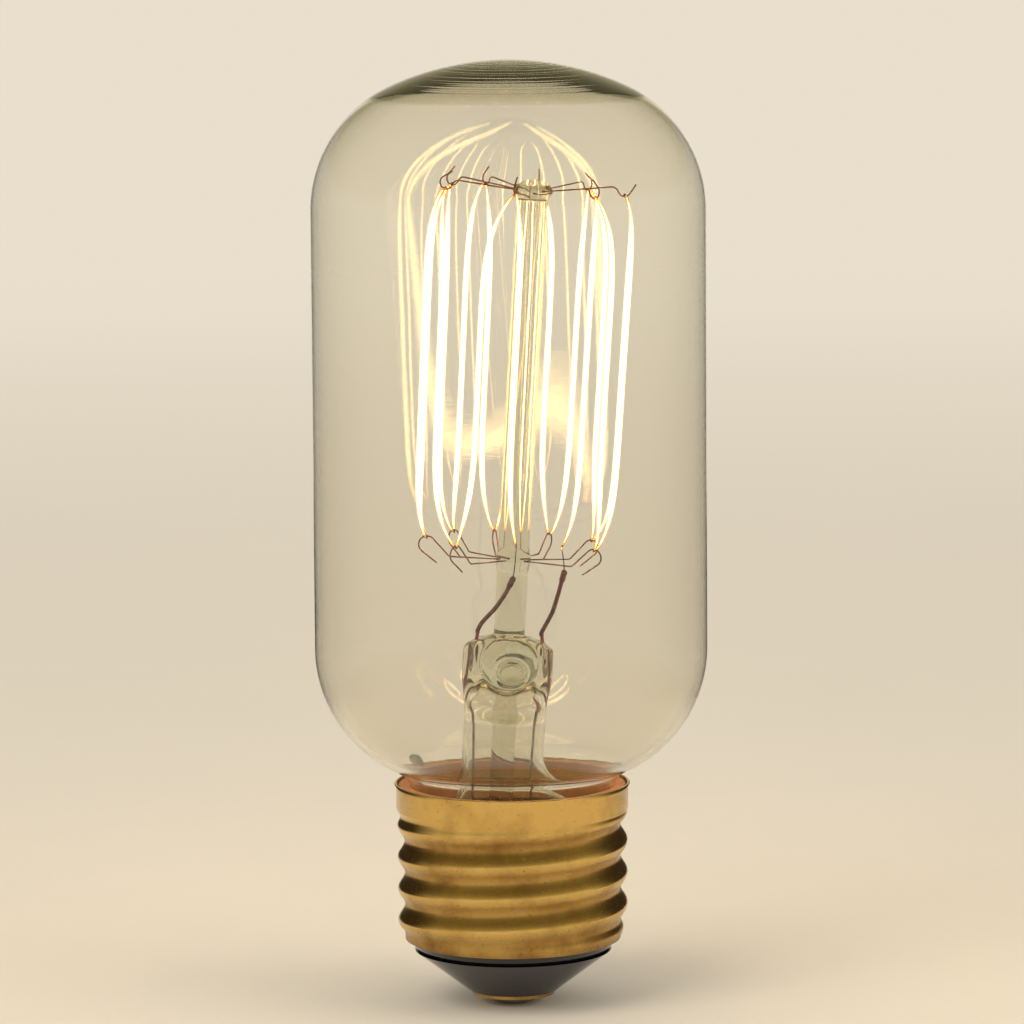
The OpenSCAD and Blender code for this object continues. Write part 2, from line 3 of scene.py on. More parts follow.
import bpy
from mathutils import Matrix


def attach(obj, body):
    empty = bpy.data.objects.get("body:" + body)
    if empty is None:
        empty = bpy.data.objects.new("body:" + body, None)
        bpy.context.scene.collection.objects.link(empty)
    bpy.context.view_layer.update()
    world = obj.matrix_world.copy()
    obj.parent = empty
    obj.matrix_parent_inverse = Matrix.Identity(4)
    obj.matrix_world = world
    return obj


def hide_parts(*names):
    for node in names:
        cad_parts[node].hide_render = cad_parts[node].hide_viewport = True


bl_info = {
    "name": "Cage Filament Lamp",
    "version": (1, 0, 0),
    "blender": (4, 5, 0),
    "location": "3D Viewport > Sidebar > Filament Lamp",
    "description": "Builds the glass, filament, wires and screw base of a clear tubular lamp",
    "category": "Add Mesh",
}

from functools import partial
from math import atan2, cos, degrees, pi, radians, sin, sqrt, tan, tau
from types import SimpleNamespace

import bpy
import numpy as np
from bpy.props import FloatProperty, FloatVectorProperty, IntProperty, PointerProperty
from mathutils import Quaternion, Vector

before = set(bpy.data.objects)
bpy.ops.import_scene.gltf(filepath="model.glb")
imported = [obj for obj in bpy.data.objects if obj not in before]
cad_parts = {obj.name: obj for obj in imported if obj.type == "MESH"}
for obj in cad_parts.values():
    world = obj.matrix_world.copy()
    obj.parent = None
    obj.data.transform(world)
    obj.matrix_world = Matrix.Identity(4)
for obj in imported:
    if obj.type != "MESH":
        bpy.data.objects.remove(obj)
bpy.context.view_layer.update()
MM = 0.001


# ---------------------------------------------------------------- sizes and colours

def length(name, description, mm):
    """A length property, given in millimetres and kept in metres."""
    return FloatProperty(name=name, description=description, default=mm * MM, min=0.0,
                         precision=5, unit="LENGTH")


def linear(code):
    """Turns an sRGB hex colour to the linear one that Blender works in."""
    parts = [int(code[i:i + 2], 16) / 255 for i in (1, 3, 5)]
    return tuple(c / 12.92 if c <= 0.04045 else ((c + 0.055) / 1.055) ** 2.4 for c in parts)


def colour(name, description, code):
    """A colour property, given as sRGB hex."""
    return FloatVectorProperty(name=name, description=description, default=linear(code), size=3,
                               min=0.0, max=1.0, subtype="COLOR")


class LampSizes(bpy.types.PropertyGroup):
    """Lengths of the lamp's glass, cage and base."""
    overall_h: length("Overall height", "From the contact tip to the crown of the glass", 107.4)
    bulb_r: length("Bulb radius", "Outer radius of the straight glass wall", 22.25)
    glass_t: length("Glass thickness", "Thickness of the bulb's wall", 0.7)
    crown_t: length("Crown thickness", "Thickness of the glass gathered at the crown", 1.17)
    crown_reach: length("Crown reach", "Radius to which the thick crown reaches", 15.2)
    shoulder_r: length("Shoulder radius", "Radius of the shoulders of the bulb", 15.3)
    crown_r: length("Crown radius", "Radius of the crown of the bulb", 31.5)
    neck_r: length("Neck radius", "Outer radius of the bulb's neck in the base", 11.7)
    fillet_r: length("Neck fillet", "Radius between the neck and the lower shoulder", 2.5)
    fillet_z: length("Fillet height", "Height of that fillet's centre", 24.65)
    seal_z: length("Seal height", "Height at which the stem is sealed to the neck", 21.5)
    stem_shift: FloatProperty(name="Stem shift", default=-1.45 * MM, unit="LENGTH", precision=5,
                              description="How far the stem stands to the side at the seal")
    tube_r: length("Flare tube radius", "Outer radius of the flare's tube", 4.65)
    tube_t: length("Flare wall", "Wall of the flare's tube", 0.65)
    exhaust_r: length("Exhaust tube radius", "Outer radius of the exhaust tube", 1.35)
    exhaust_l: length("Exhaust tube length", "Length of the exhaust tube to its tip", 25.5)
    press_foot: length("Press foot", "Height of the press's foot above the seal", 11.9)
    press_h: length("Press height", "Height of the press", 8.8)
    press_w: length("Press half width", "Half width of the press across the wires", 5.15)
    press_d: length("Press half depth", "Half thickness of the press", 2.3)
    hollow_h: length("Hollow height", "Height of the hollow in the press's foot", 2.6)
    arbor_r: length("Arbor radius", "Radius of the glass arbor rod", 1.77)
    arbor_swell: length("Arbor swell", "Swell of the rod at the lower hooks", 0.2)
    button_r: length("Button radius", "Radius of the glass button", 2.3)
    button_h: length("Button height", "Height of the glass button", 2.5)
    button_s: length("Button place", "Height of the button's middle above the seal", 71.27)
    upper_s: length("Upper ring", "Height of the upper hooks above the seal", 71.2)
    upper_ring_r: length("Upper ring radius", "Radius of the upper ring of hooks", 10.3)
    lower_s: length("Lower ring", "Height of the lower hooks above the seal", 31.6)
    lower_ring_r: length("Lower ring radius", "Radius of the lower ring of hooks", 9.85)
    hook_wire_r: length("Hook wire radius", "Radius of the hooks' wire", 0.085)
    belly: length("Cage belly", "How far the legs belly out between the rings", 1.4)
    coil_r: length("Coil radius", "Outer radius of the filament's coil along its legs", 0.33)
    coil_hook_r: length("Coil radius on a hook", "Outer radius of the coil over a hook", 0.14)
    coil_wire_r: length("Filament wire radius", "Radius of the coiled wire", 0.065)
    core_r: length("Core radius", "Radius of the bright core wire along the legs", 0.11)
    coil_pitch: length("Coil pitch", "Distance from turn to turn of the coil", 0.28)
    lead_r: length("Lead radius", "Radius of the inner lead wires", 0.25)
    outer_lead_r: length("Outer lead radius", "Radius of the outer lead wires", 0.15)
    dumet_r: length("Sealed wire radius", "Radius of the wires sealed in the press", 0.2)
    clamp_l: length("Clamp length", "Length of the folded ends that grip the filament", 1.5)
    shell_h: length("Rim height", "Height of the shell's rim above the contact tip", 25.4)
    collar_r: length("Collar radius", "Outer radius of the shell's smooth collar", 13.2)
    sheet_t: length("Sheet thickness", "Thickness of the shell's brass", 0.3)
    thread_pitch: length("Thread pitch", "Pitch of the medium screw thread", 3.629)
    thread_depth: length("Thread depth", "Depth of the rolled thread", 0.8)
    thread_run: length("Thread run-out", "Height over which the thread runs out", 1.2)


class LampShape(bpy.types.PropertyGroup):
    """Angles and counts of the lamp."""
    lean: FloatProperty(name="Stem lean", description="Lean of the stem and cage to the right",
                        default=radians(3.4), subtype="ANGLE")
    glass_steps: IntProperty(name="Glass steps", description="Faces round the bulb", default=192,
                             min=48, max=256)
    coil_steps: IntProperty(name="Coil steps", description="Points in a turn of the coil",
                            default=8, min=6, max=10)
    thread_steps: IntProperty(name="Thread steps", description="Faces round the shell",
                              default=144, min=48, max=192)


class LampColours(bpy.types.PropertyGroup):
    """Colours of the lamp's surfaces."""
    glass: colour("Glass", "Faint tint of the clear glass", "#F9F7F2")
    hot: colour("Hot filament", "Glow in the middle of a leg", "#FFCE82")
    halo: colour("Winding", "Softer glow of the fine winding round the core", "#FFDA92")
    warm: colour("Warm filament", "Glow where a hook draws the heat off", "#F08030")
    hook: colour("Hook wire", "Molybdenum wire dulled by the heat", "#80503A")
    lead: colour("Lead wire", "Copper lead with a red-brown oxide skin", "#8A3A22")
    lead_oxide: colour("Lead oxide", "Darker oxide on the lead", "#4A1C10")
    dumet: colour("Sealed wire", "Borated copper skin under the glass", "#A8402A")
    brass: colour("Brass", "Clean rolled brass", "#D8B46A")
    tarnish: colour("Tarnish", "Tarnish in the brass's hollows", "#8C6634")
    black_glass: colour("Black glass", "Moulded black glass", "#0C0C10")
    solder: colour("Solder", "Tin and lead solder", "#B9BBBD")
    cement: colour("Cement", "Baked basing cement", "#D8905A")
    floor: colour("Floor", "Pale board that the lamp stands on", "#E9DFCC")


def sizes():
    """All lengths in millimetres, with the ones that follow from them."""
    group = bpy.context.scene.lamp_sizes
    s = SimpleNamespace(**{k: getattr(group, k) / MM for k in LampSizes.__annotations__})
    s.shoulder_x = s.bulb_r - s.shoulder_r
    s.fillet_x = s.neck_r + s.fillet_r
    s.low_z = s.fillet_z + sqrt((s.shoulder_r + s.fillet_r) ** 2
                                - (s.fillet_x - s.shoulder_x) ** 2)
    s.crown_z = s.overall_h - s.crown_r
    s.top_z = s.crown_z + sqrt((s.crown_r - s.shoulder_r) ** 2 - s.shoulder_x ** 2)
    s.low_a = degrees(atan2(s.fillet_z - s.low_z, s.fillet_x - s.shoulder_x))
    s.top_a = degrees(atan2(s.top_z - s.crown_z, s.shoulder_x))
    s.neck_in_r = s.neck_r - s.glass_t
    s.press_top = s.press_foot + s.press_h
    s.hollow_top = s.press_foot + s.hollow_h
    # The shell of a medium base: its collar, thread and lip, and how far the last two step in
    collar_h, thread_l, lip_h, crest_in, lip_in = 3.1, 14.5, 1.6, 0.1, 1.1
    s.thread_top = s.shell_h - collar_h
    s.thread_foot = s.thread_top - thread_l
    s.lip_foot = s.thread_foot - lip_h
    s.crest_r = s.collar_r - crest_in
    s.root_r = s.crest_r - s.thread_depth
    s.lip_r = s.root_r - lip_in
    s.contact_top = 1.5
    # How far a lower hook drops from the ring to its root in the rod
    s.hook_drop = 2.2
    return s


# ---------------------------------------------------------------- paths, in millimetres

# Directions round the stem, in degrees: 0 is to the right and 270 towards the camera
UPPER_AZ = (259, 200, 152, 121, 86, 52, -2, -49)
LOWER_AZ = (229, 178, 134, 103, 66, 27, -25)
END_AZ = (271, -58)
SIDE_AZ = 152
# How far each upper hook's crook is turned up, in degrees
UPPER_END = (58, 60, 40, 50, 50, 58, -30, 50)


def mix(a, b, t):
    """From a to b by the share t."""
    return a + (b - a) * t


def ease(x):
    """From 0 to 1 with a soft start and end."""
    t = min(1.0, max(0.0, x))
    return t * t * (3 - 2 * t)


def unit(v):
    """The direction of v."""
    return v / np.linalg.norm(v)


def polar(r, az, z):
    """A place by its radius, its direction in degrees and its height."""
    a = radians(az)
    return np.array([r * cos(a), r * sin(a), z])


def from_stem(points):
    """Places given in the leaning stem's frame, in the bulb's frame."""
    s, lean = sizes(), bpy.context.scene.lamp_shape.lean
    p = np.asarray(points, float)
    x, y, z = p[..., 0], p[..., 1], p[..., 2]
    c, d = cos(lean), sin(lean)
    return np.stack([s.stem_shift + x * c + z * d, y, s.seal_z - x * d + z * c], axis=-1)


def arc(centre, r, a0, a1, n):
    """n steps of an arc, without its first point, so that arcs can follow each other."""
    angles = np.radians([mix(a0, a1, i / n) for i in range(1, n + 1)])
    return [(centre[0] + r * cos(a), centre[1] + r * sin(a)) for a in angles]


def spline(p, n):
    """A smooth curve through the points, each stretch in n steps."""
    p = [np.asarray(q, float) for q in p]
    out = []
    for i in range(len(p) - 1):
        a, b, c, d = p[max(i - 1, 0)], p[i], p[i + 1], p[min(i + 2, len(p) - 1)]
        for j in range(n):
            t = j / n
            out.append(0.5 * (2 * b + (c - a) * t + (2 * a - 5 * b + 4 * c - d) * t * t
                              + (3 * b - a - 3 * c + d) * t ** 3))
    return out + [p[-1]]


def onward(p, d):
    """The place that is d past the end of the path p, straight on."""
    return p[-1] + d * unit(p[-1] - p[-2])


def in_press(x, h):
    """A place in the press, by shares of its half width and of its height."""
    s = sizes()
    return np.array([x * s.press_w, 0, mix(s.press_foot, s.press_top, h)])


def to_cage(x, y, h):
    """A place between press and cage, by shares of the lower ring and of the way up."""
    s = sizes()
    return np.array([x * s.lower_ring_r, y * s.lower_ring_r, mix(s.press_top, s.lower_s, h)])


def in_flare(x, y, h):
    """A place in the flare's tube, in the bulb's frame, by shares of its size."""
    s = sizes()
    return from_stem([x * s.tube_r, y * s.tube_r, h * s.press_foot])


def sealed_paths():
    """The two wires through the press, from its top down, in the stem's frame."""
    return [[in_press(*share) for share in row] for row in (
        ((-0.7, 1.02), (-0.74, 0.81), (-0.77, 0.58), (-0.82, 0.35), (-0.8, 0.17), (-0.69, 0.03)),
        ((0.72, 1.02), (0.77, 0.81), (0.82, 0.58), (0.82, 0.35), (0.77, 0.19), (0.66, 0.05)))]


def lead_paths():
    """The two inner leads, from the press up to the clamps, in the stem's frame."""
    rows = (((-0.31, -0.08, 0.15), (-0.18, -0.3, 0.32), (-0.08, -0.57, 0.5), (-0.03, -0.74, 0.62)),
            ((0.42, -0.07, 0.16), (0.48, -0.25, 0.31), (0.52, -0.47, 0.49), (0.56, -0.71, 0.7)))
    return [[wire[0], onward(wire[::-1], 0.4)] + [to_cage(*share) for share in row]
            for wire, row in zip(sealed_paths(), rows)]


def outer_paths():
    """The side wire and the tip wire, from the press down, in the bulb's frame."""
    s = sizes()
    rows = (((-0.75, 0, 0.83), (-0.71, 0, 0.28), (-0.69, 0.06, -0.1)),
            ((0.73, 0, 0.78), (0.69, -0.08, 0.19), (0.74, -0.1, -0.45)))
    side, tip = [[from_stem(wire[-1]), from_stem(onward(wire, 0.4))]
                 + [in_flare(*share) for share in row] for wire, row in zip(sealed_paths(), rows)]
    # Out under the neck, up between neck and shell, and over the rim to its solder
    side += [polar(r, SIDE_AZ, z) for r, z in (
        (0.62 * s.neck_r, s.seal_z - 3.1), (0.84 * s.neck_r, s.seal_z - 3.1),
        (s.neck_r - 0.3, s.seal_z - 1.2), (s.neck_r + 0.3, s.seal_z - 0.2),
        (s.neck_r + 0.45, s.thread_top), (s.neck_r + 0.6, s.shell_h - 1),
        (s.collar_r - 0.5, s.shell_h + 0.35), (s.collar_r + 0.3, s.shell_h + 0.3))]
    # Down the middle, through the contact's eyelet
    tip += [(0.975, 0, s.thread_foot + 1.7), (0, 0, s.contact_top + 3.1), (0, 0, s.contact_top),
            (0, 0, 1.05)]
    return side, tip


def leg_points(start, end, bend_start, bend_end, n):
    """Points, coil radii and heats of one leg of the filament, without its last point."""
    s = sizes()
    # How sharply the leg bends over its hooks follows from its height and its swing aside
    swing_rate, roundness = 9, 0.6
    side = swing_rate * start[1] * radians(abs(end[0] - start[0]))
    e = 0.5 * abs(end[2] - start[2]) / (side * side)
    # Shares of the leg: where the coil is full, where the glow starts and how fast it comes
    full_at, glow_at, glow_in = 0.26, 0.006, 0.035

    def half_rise(x, e):
        """How far the leg has risen at x, up to its middle, out of a bend of sharpness e."""
        return 0.5 * (sqrt(x * x + e * e) - e) / (sqrt(0.25 + e * e) - e)

    out = []
    for j in range(n):
        x = 0.5 - 0.5 * cos(pi * j / n)
        rise = (half_rise(x, roundness * e * bend_start) if x < 0.5
                else 1 - half_rise(1 - x, roundness * e * bend_end))
        point = polar(mix(start[1], end[1], x) + s.belly * (1 - (2 * x - 1) ** 8),
                      mix(start[0], end[0], 0.5 + 0.5 * (2 * x - 1) ** 5),
                      mix(start[2], end[2], rise))
        from_end = min(x, 1 - x)
        near = from_end / full_at
        grow = 1 if near > 1 else 1 - (1 - near) ** 2
        heat = min(1.0, max(0.0, from_end - glow_at) / glow_in)
        out.append((point, mix(s.coil_hook_r, s.coil_r, grow), heat))
    return out


def tail_points(lead, turn):
    """The filament's end, from its clamp to where its first leg starts, without that point."""
    s = sizes()
    curve = spline(lead, 4)
    start, bend = onward(curve, 0.55 * s.clamp_l), onward(curve, s.clamp_l + 0.8)
    end = polar(turn[1], turn[0], turn[2])
    return [((1 - t) ** 2 * start + 2 * t * (1 - t) * bend + t * t * end,
             0.6 * s.coil_hook_r, 0.2 * t * t) for t in (i / 12 for i in range(12))]


def filament_points():
    """The whole filament: points in the bulb's frame, coil radii and heats."""
    s = sizes()
    # The coil's middle lies this far from that of the hook's wire, and its ends start at end_s
    hang, end_s = s.hook_wire_r + 0.12, s.lower_s + 0.6
    turns = [(END_AZ[0], s.lower_ring_r, end_s)]
    for i, az in enumerate(UPPER_AZ):
        turns.append((az, s.upper_ring_r, s.upper_s + hang))
        turns.append((LOWER_AZ[i], s.lower_ring_r, s.lower_s - hang) if i < len(LOWER_AZ)
                     else (END_AZ[1], s.lower_ring_r, end_s))
    first, second = lead_paths()
    rows = tail_points(first, turns[0])
    last = len(turns) - 1
    for i in range(last):
        rows += leg_points(turns[i], turns[i + 1], i > 0, i + 1 < last, 56)
    az, r, z = turns[last]
    rows.append((polar(r, az, z), s.coil_hook_r, 0.5))
    rows += tail_points(second, turns[last])[::-1]
    points, radii, heats = zip(*rows)
    return from_stem(points), np.array(radii), np.array(heats)


def hook_paths():
    """The wire of each hook, by name, in the bulb's frame."""
    s = sizes()
    paths = {}

    def on(centre, r, a):
        """The place on a circle at the angle a, in degrees."""
        return centre[0] + r * cos(radians(a)), centre[1] + r * sin(radians(a))

    def turned(flat, az):
        """A wire drawn as radius and height, turned to its direction round the stem."""
        return from_stem([polar(r, az, z) for r, z in flat])

    # Upper: out of the button, over a crest and down into a crook that is turned up at its end
    root, tilt, crook_r, rise, end_l = 0.9, 20, 0.75, 7, 1.2
    crest = (s.upper_ring_r - 2 * crook_r * cos(radians(tilt)),
             s.upper_s + crook_r - 2 * crook_r * sin(radians(tilt)))
    centre = (s.upper_ring_r, s.upper_s + crook_r)
    for i, (az, end_a) in enumerate(zip(UPPER_AZ, UPPER_END)):
        flat = [(s.button_r - root, s.button_s), on(crest, crook_r, 90 + rise)]
        flat += arc(crest, crook_r, 90 + rise, tilt, 10)
        flat += arc(centre, crook_r, 180 + tilt, 360 + end_a, 28)
        paths[f"upper_hook_{i + 1}"] = turned(flat + [on(flat[-1], end_l, end_a + 90)], az)

    # Lower: out of the rod, up a slope and over a loop whose end hangs down
    low_r, turn_r, slope, end_a, end_l = 0.95, 0.5, 45, -54, 2.2
    k = radians(slope)
    run_r = (s.lower_ring_r - (low_r + turn_r) * sin(k)
             - (s.hook_drop - (low_r + turn_r) * (1 - cos(k))) / tan(k))
    foot = s.lower_s - s.hook_drop
    centre = (s.lower_ring_r, s.lower_s - low_r)
    for i, az in enumerate(LOWER_AZ):
        flat = [(s.arbor_r + s.arbor_swell - root, foot), (run_r, foot)]
        flat += arc((run_r, foot + turn_r), turn_r, 270, 270 + slope, 8)
        flat += [on(centre, low_r, 90 + slope)] + arc(centre, low_r, 90 + slope, end_a, 26)
        paths[f"lower_hook_{i + 1}"] = turned(flat + [on(flat[-1], end_l, end_a - 90)], az)
    return paths


# ---------------------------------------------------------------- meshes

def mesh_object(name, verts, faces, edges=()):
    """A new object from points in millimetres, smooth where it has faces."""
    mesh = bpy.data.meshes.new(name)
    mesh.from_pydata((np.asarray(verts, float) * MM).tolist(), list(edges), list(faces))
    mesh.validate()
    if len(mesh.polygons):
        mesh.polygons.foreach_set("use_smooth", [True] * len(mesh.polygons))
    obj = bpy.data.objects.new(name, mesh)
    bpy.context.scene.collection.objects.link(obj)
    return obj


def path_object(name, path, **attributes):
    """An object of edges along an open path, with a float for each point per attribute."""
    obj = mesh_object(name, path, [], [(i, i + 1) for i in range(len(path) - 1)])
    attributes.setdefault("thick", np.ones(len(path)))
    for key, values in attributes.items():
        obj.data.attributes.new(key, "FLOAT", "POINT").data.foreach_set("value", values)
    return obj


def skin(rings):
    """Points and faces over rings of one count, each counter-clockwise seen from the last one,
    with a fan of faces over each end."""
    m, end = len(rings[0]), (len(rings) - 1) * len(rings[0])
    faces = [(a + k, a + (k + 1) % m, a + m + (k + 1) % m, a + m + k)
             for a in range(0, end, m) for k in range(m)]
    first, last = end + m, end + m + 1
    for k in range(m):
        faces += [(first, (k + 1) % m, k), (last, end + k, end + (k + 1) % m)]
    return np.concatenate([*rings, [rings[0].mean(0)], [rings[-1].mean(0)]]), faces


def stem_rings():
    """The glass stem as rings, from inside the exhaust tube's tip round to the button's top."""
    s = sizes()
    count = 160
    angles = np.arange(count) * tau / count
    cosine, sine = np.cos(angles), np.sin(angles)
    rings = []
    # The exhaust tube's closed tip, and the height over which it widens
    tip_r, tip_l = 0.7, 3
    # The hollow in the press's foot: its round crown, and its depth as a share of its width
    crown_h, flat = 0.6, 0.72
    # The press's rounded top: its share of the height, and what it takes off each half
    top, round_w, round_d = 0.14, 1.3, 0.35
    start = 1 - top
    # How much squarer than an ellipse the press is
    square = 0.6

    def flare(r, z):
        """Adds a ring that is centred on the neck at the seal and on the stem at the tube."""
        w = ease((z - s.tube_t) / (s.neck_in_r - s.tube_r))
        ring = np.stack([r * cosine, r * sine, np.full(count, z)], -1)
        rings.append(mix(ring + np.array([0, 0, s.seal_z]), from_stem(ring), w))

    def oval(a, b, z, p=2):
        """A level ring of half axes a and b in the stem's frame, squarer the higher p is."""
        x = a * np.sign(cosine) * np.abs(cosine) ** (2 / p)
        y = b * np.sign(sine) * np.abs(sine) ** (2 / p)
        return np.stack([x, y, np.full(count, z)], -1)

    def tube(a, b, z):
        """Adds such a ring, as an ellipse."""
        rings.append(from_stem(oval(a, b, z)))

    def pressed(ring):
        """Adds a ring of the press. Its jaws leave a dome on each face, the vent's round eye
        low in it and a bead along each wire, and the top sinks towards its shoulders."""
        x, y, z = ring.T
        high = np.clip((z - s.press_foot) / s.press_h, 0, 1)
        # Dome and eye: their middles, half axes a and b, and heights
        dome_x, dome_down, dome_a, dome_b, dome_h = 0.2, 2.7, 3.35, 3.1, 0.95
        eye_x, eye_up, eye_a, eye_b, eye_h = 0.5, 5.0, 1.5, 1.35, 0.75
        # The groove round the eye, as shares of the eye's size, and its depth
        groove_at, groove_w, groove_h = 1.12, 0.14, 0.25
        bead_places, bead_w, bead_h, flank = (-3.85, 3.95), 0.55, 0.4, 0.8
        # The uneven edge of the top
        ripple_h, ripple_rate, ripple_start, ripple_x = 0.07, 4.3, 0.6, 4

        dome = (1 - ((x - dome_x) / dome_a) ** 2
                - ((z - s.press_top + dome_down) / dome_b) ** 2)
        rise = dome_h * np.sqrt(np.clip(dome, 0, 1))
        from_eye = np.hypot((x - eye_x) / eye_a, (z - s.press_foot - eye_up) / eye_b)
        rise += eye_h * np.sqrt(np.clip(1 - from_eye ** 2, 0, 1))
        rise -= groove_h * np.exp(-((from_eye - groove_at) / groove_w) ** 2)
        for bead_x in bead_places:
            rise += (bead_h * np.exp(-((x - bead_x) / bead_w) ** 2)
                     * np.clip(3 * high - 0.6, 0, 1))
        # All of it fades out at the narrow flanks
        rise *= np.minimum(1, np.abs(y) / flank)
        ripple = ripple_h * np.sin(ripple_rate * x + ripple_start) * np.abs(x) / ripple_x
        sink = (x / s.press_w) ** 2 + ripple
        # Only the upper half sinks
        late = np.clip(2 * high - 1, 0, 1)
        shaped = np.stack([x, y + np.sign(y) * rise, z - sink * late * late], -1)
        rings.append(from_stem(shaped))

    # Inside, from the exhaust tube's tip up to the hollow's crown and down to the seal
    foot = s.hollow_top - s.exhaust_l
    crown_z = s.hollow_top - crown_h
    flare_z = s.press_foot - 1.5
    inner = s.tube_r - s.tube_t
    for a in np.radians(np.linspace(-89, 0, 10)):
        tube(tip_r * cos(a), tip_r * cos(a), foot + tip_r + tip_r * sin(a))
    for t in np.linspace(0.05, 1, 14):
        r = mix(tip_r, s.exhaust_r, ease(t))
        tube(r, r, mix(foot + tip_r, foot + tip_l, t))
    for t in np.linspace(0, 1, 12)[1:]:
        tube(s.exhaust_r, s.exhaust_r, mix(foot + tip_l, crown_z, t))
    for t in np.linspace(0, 1, 14)[1:]:
        # Over the hollow's crown, from the exhaust tube out to the flare's wall
        a = pi * t
        k = 0.5 - 0.5 * cos(a)
        ring = oval(mix(s.exhaust_r, inner - 0.2, k), mix(s.exhaust_r, inner * flat, k),
                    crown_z + crown_h * sin(a))
        ring[:, 2] += sin(a) * (1.1 * np.abs(cosine) ** 1.5 - 0.35)
        rings.append(from_stem(ring))
    for t in np.linspace(0, 1, 12)[1:]:
        tube(mix(inner - 0.2, inner, ease(t)), mix(inner * flat, inner, ease(t)),
             mix(crown_z, flare_z, t))
    bend = s.neck_in_r - s.tube_r
    for t in np.linspace(0, 1, 6)[1:-1]:
        flare(inner, mix(flare_z, bend + s.tube_t, t))
    # Round the flare to the seal, and back up outside it
    for span, r in (((180, 270), bend + s.tube_t), ((270, 180), bend)):
        for a in np.radians(np.linspace(*span, 16)):
            flare(s.neck_in_r + r * cos(a), bend + s.tube_t + r * sin(a))
    for t in np.linspace(0, 1, 10)[1:]:
        flare(s.tube_r, mix(bend + s.tube_t, s.press_foot, t))
    # The press: pinched flat between two jaws, rounded on top, and drawn up round the rod
    for f in np.concatenate([np.linspace(0.02, start, 56),
                             start + top * np.sin(np.radians(np.linspace(4, 90, 18)))]):
        m = ease(f / 0.5)
        edge = 1 - sqrt(max(0.0, 1 - ((f - start) / top) ** 2)) if f > start else 0
        pressed(oval(mix(s.tube_r, s.press_w, m) - round_w * edge,
                     mix(s.tube_r, s.press_d, m) - round_d * edge,
                     s.press_foot + s.press_h * f, 2 + square * m))
    for t in np.linspace(0, 1, 10)[1:]:
        # The root of the rod is a small fillet
        k = 1 - (1 - t) ** 2
        pressed(oval(mix(s.press_w - round_w, s.arbor_r, k),
                     mix(s.press_d - round_d, s.arbor_r, k),
                     s.press_top + 0.5 * t * t, mix(2 + square, 2, t)))
    # The rod, with its swell at the lower hooks, and the button
    swell, swell_l = s.lower_s - s.hook_drop, 1.6
    for z in np.concatenate([
            np.linspace(s.press_top + 0.9, swell - swell_l, 16),
            np.linspace(swell - swell_l, swell + swell_l, 14)[1:],
            np.linspace(swell + swell_l, s.button_s - s.button_h / 2, 30)[1:]]):
        near = abs(z - swell) / swell_l
        r = s.arbor_r + (s.arbor_swell * (0.5 + 0.5 * cos(pi * near)) if near < 1 else 0)
        tube(r, r, z)
    for a in np.radians(np.linspace(-45, 89, 30)):
        r = s.button_r * cos(a)
        tube(r, r, s.button_s + s.button_h / 2 * sin(a))
    return rings


def grown(name, source, *steps):
    """Runs Geometry Nodes trees on the source object and keeps the result as a plain mesh."""
    for tree, values in steps:
        modifier = source.modifiers.new(tree.name, "NODES")
        modifier.node_group = tree
        for item in tree.interface.items_tree:
            if item.in_out == "INPUT" and item.name in values:
                modifier[item.identifier] = values[item.name]
    graph = bpy.context.evaluated_depsgraph_get()
    mesh = bpy.data.meshes.new_from_object(source.evaluated_get(graph), depsgraph=graph)
    bpy.data.objects.remove(source)
    mesh.name = name
    obj = bpy.data.objects.new(name, mesh)
    bpy.context.scene.collection.objects.link(obj)
    return obj


def finish_piece(obj, slot, *nodes):
    """Hangs a piece on the lamp's one body, in place of the nodes that it stands for."""
    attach(obj, "root")
    if nodes:
        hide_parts(*nodes)


# ---------------------------------------------------------------- node trees

MATH, VECTOR, RANGE, MIX = ("ShaderNodeMath", "ShaderNodeVectorMath", "ShaderNodeMapRange",
                            "ShaderNodeMix")
NOISE, BUMP, PRINCIPLED = "ShaderNodeTexNoise", "ShaderNodeBump", "ShaderNodeBsdfPrincipled"
OUTPUT = "ShaderNodeOutputMaterial"


def add_node(tree, kind, *numbered, **named):
    """Adds a node. numbered are its first inputs, and named are its settings, in small letters,
    and inputs by identifier or by name, with _ for a space. An input is given a value, a socket,
    or a node that stands for its first output in use."""
    node = tree.nodes.new(kind)
    inputs = dict(enumerate(numbered))
    for key, value in named.items():
        if hasattr(node, key):
            setattr(node, key, value)
        else:
            inputs[key] = value
    for key, value in inputs.items():
        socket = node.inputs[key] if isinstance(key, int) else next(
            (i for i in node.inputs if i.identifier == key), None) or node.inputs[
                key.replace("_", " ")]
        if isinstance(value, bpy.types.Node):
            value = next(o for o in value.outputs if o.enabled)
        if isinstance(value, bpy.types.NodeSocket):
            tree.links.new(value, socket)
        else:
            socket.default_value = value
    return node


def geometry_tree(name, **inputs):
    """A Geometry Nodes tree with these inputs and defaults, where None is for a material: the
    call that adds its nodes, and what its inputs give."""
    tree = bpy.data.node_groups.new(name, "GeometryNodeTree")
    tree.interface.new_socket("Geometry", in_out="INPUT", socket_type="NodeSocketGeometry")
    kinds = {float: "NodeSocketFloat", int: "NodeSocketInt", type(None): "NodeSocketMaterial"}
    for key, default in inputs.items():
        socket = tree.interface.new_socket(key, in_out="INPUT", socket_type=kinds[type(default)])
        if default is not None:
            socket.default_value = default
    tree.interface.new_socket("Geometry", in_out="OUTPUT", socket_type="NodeSocketGeometry")
    return partial(add_node, tree), tree.nodes.new("NodeGroupInput").outputs


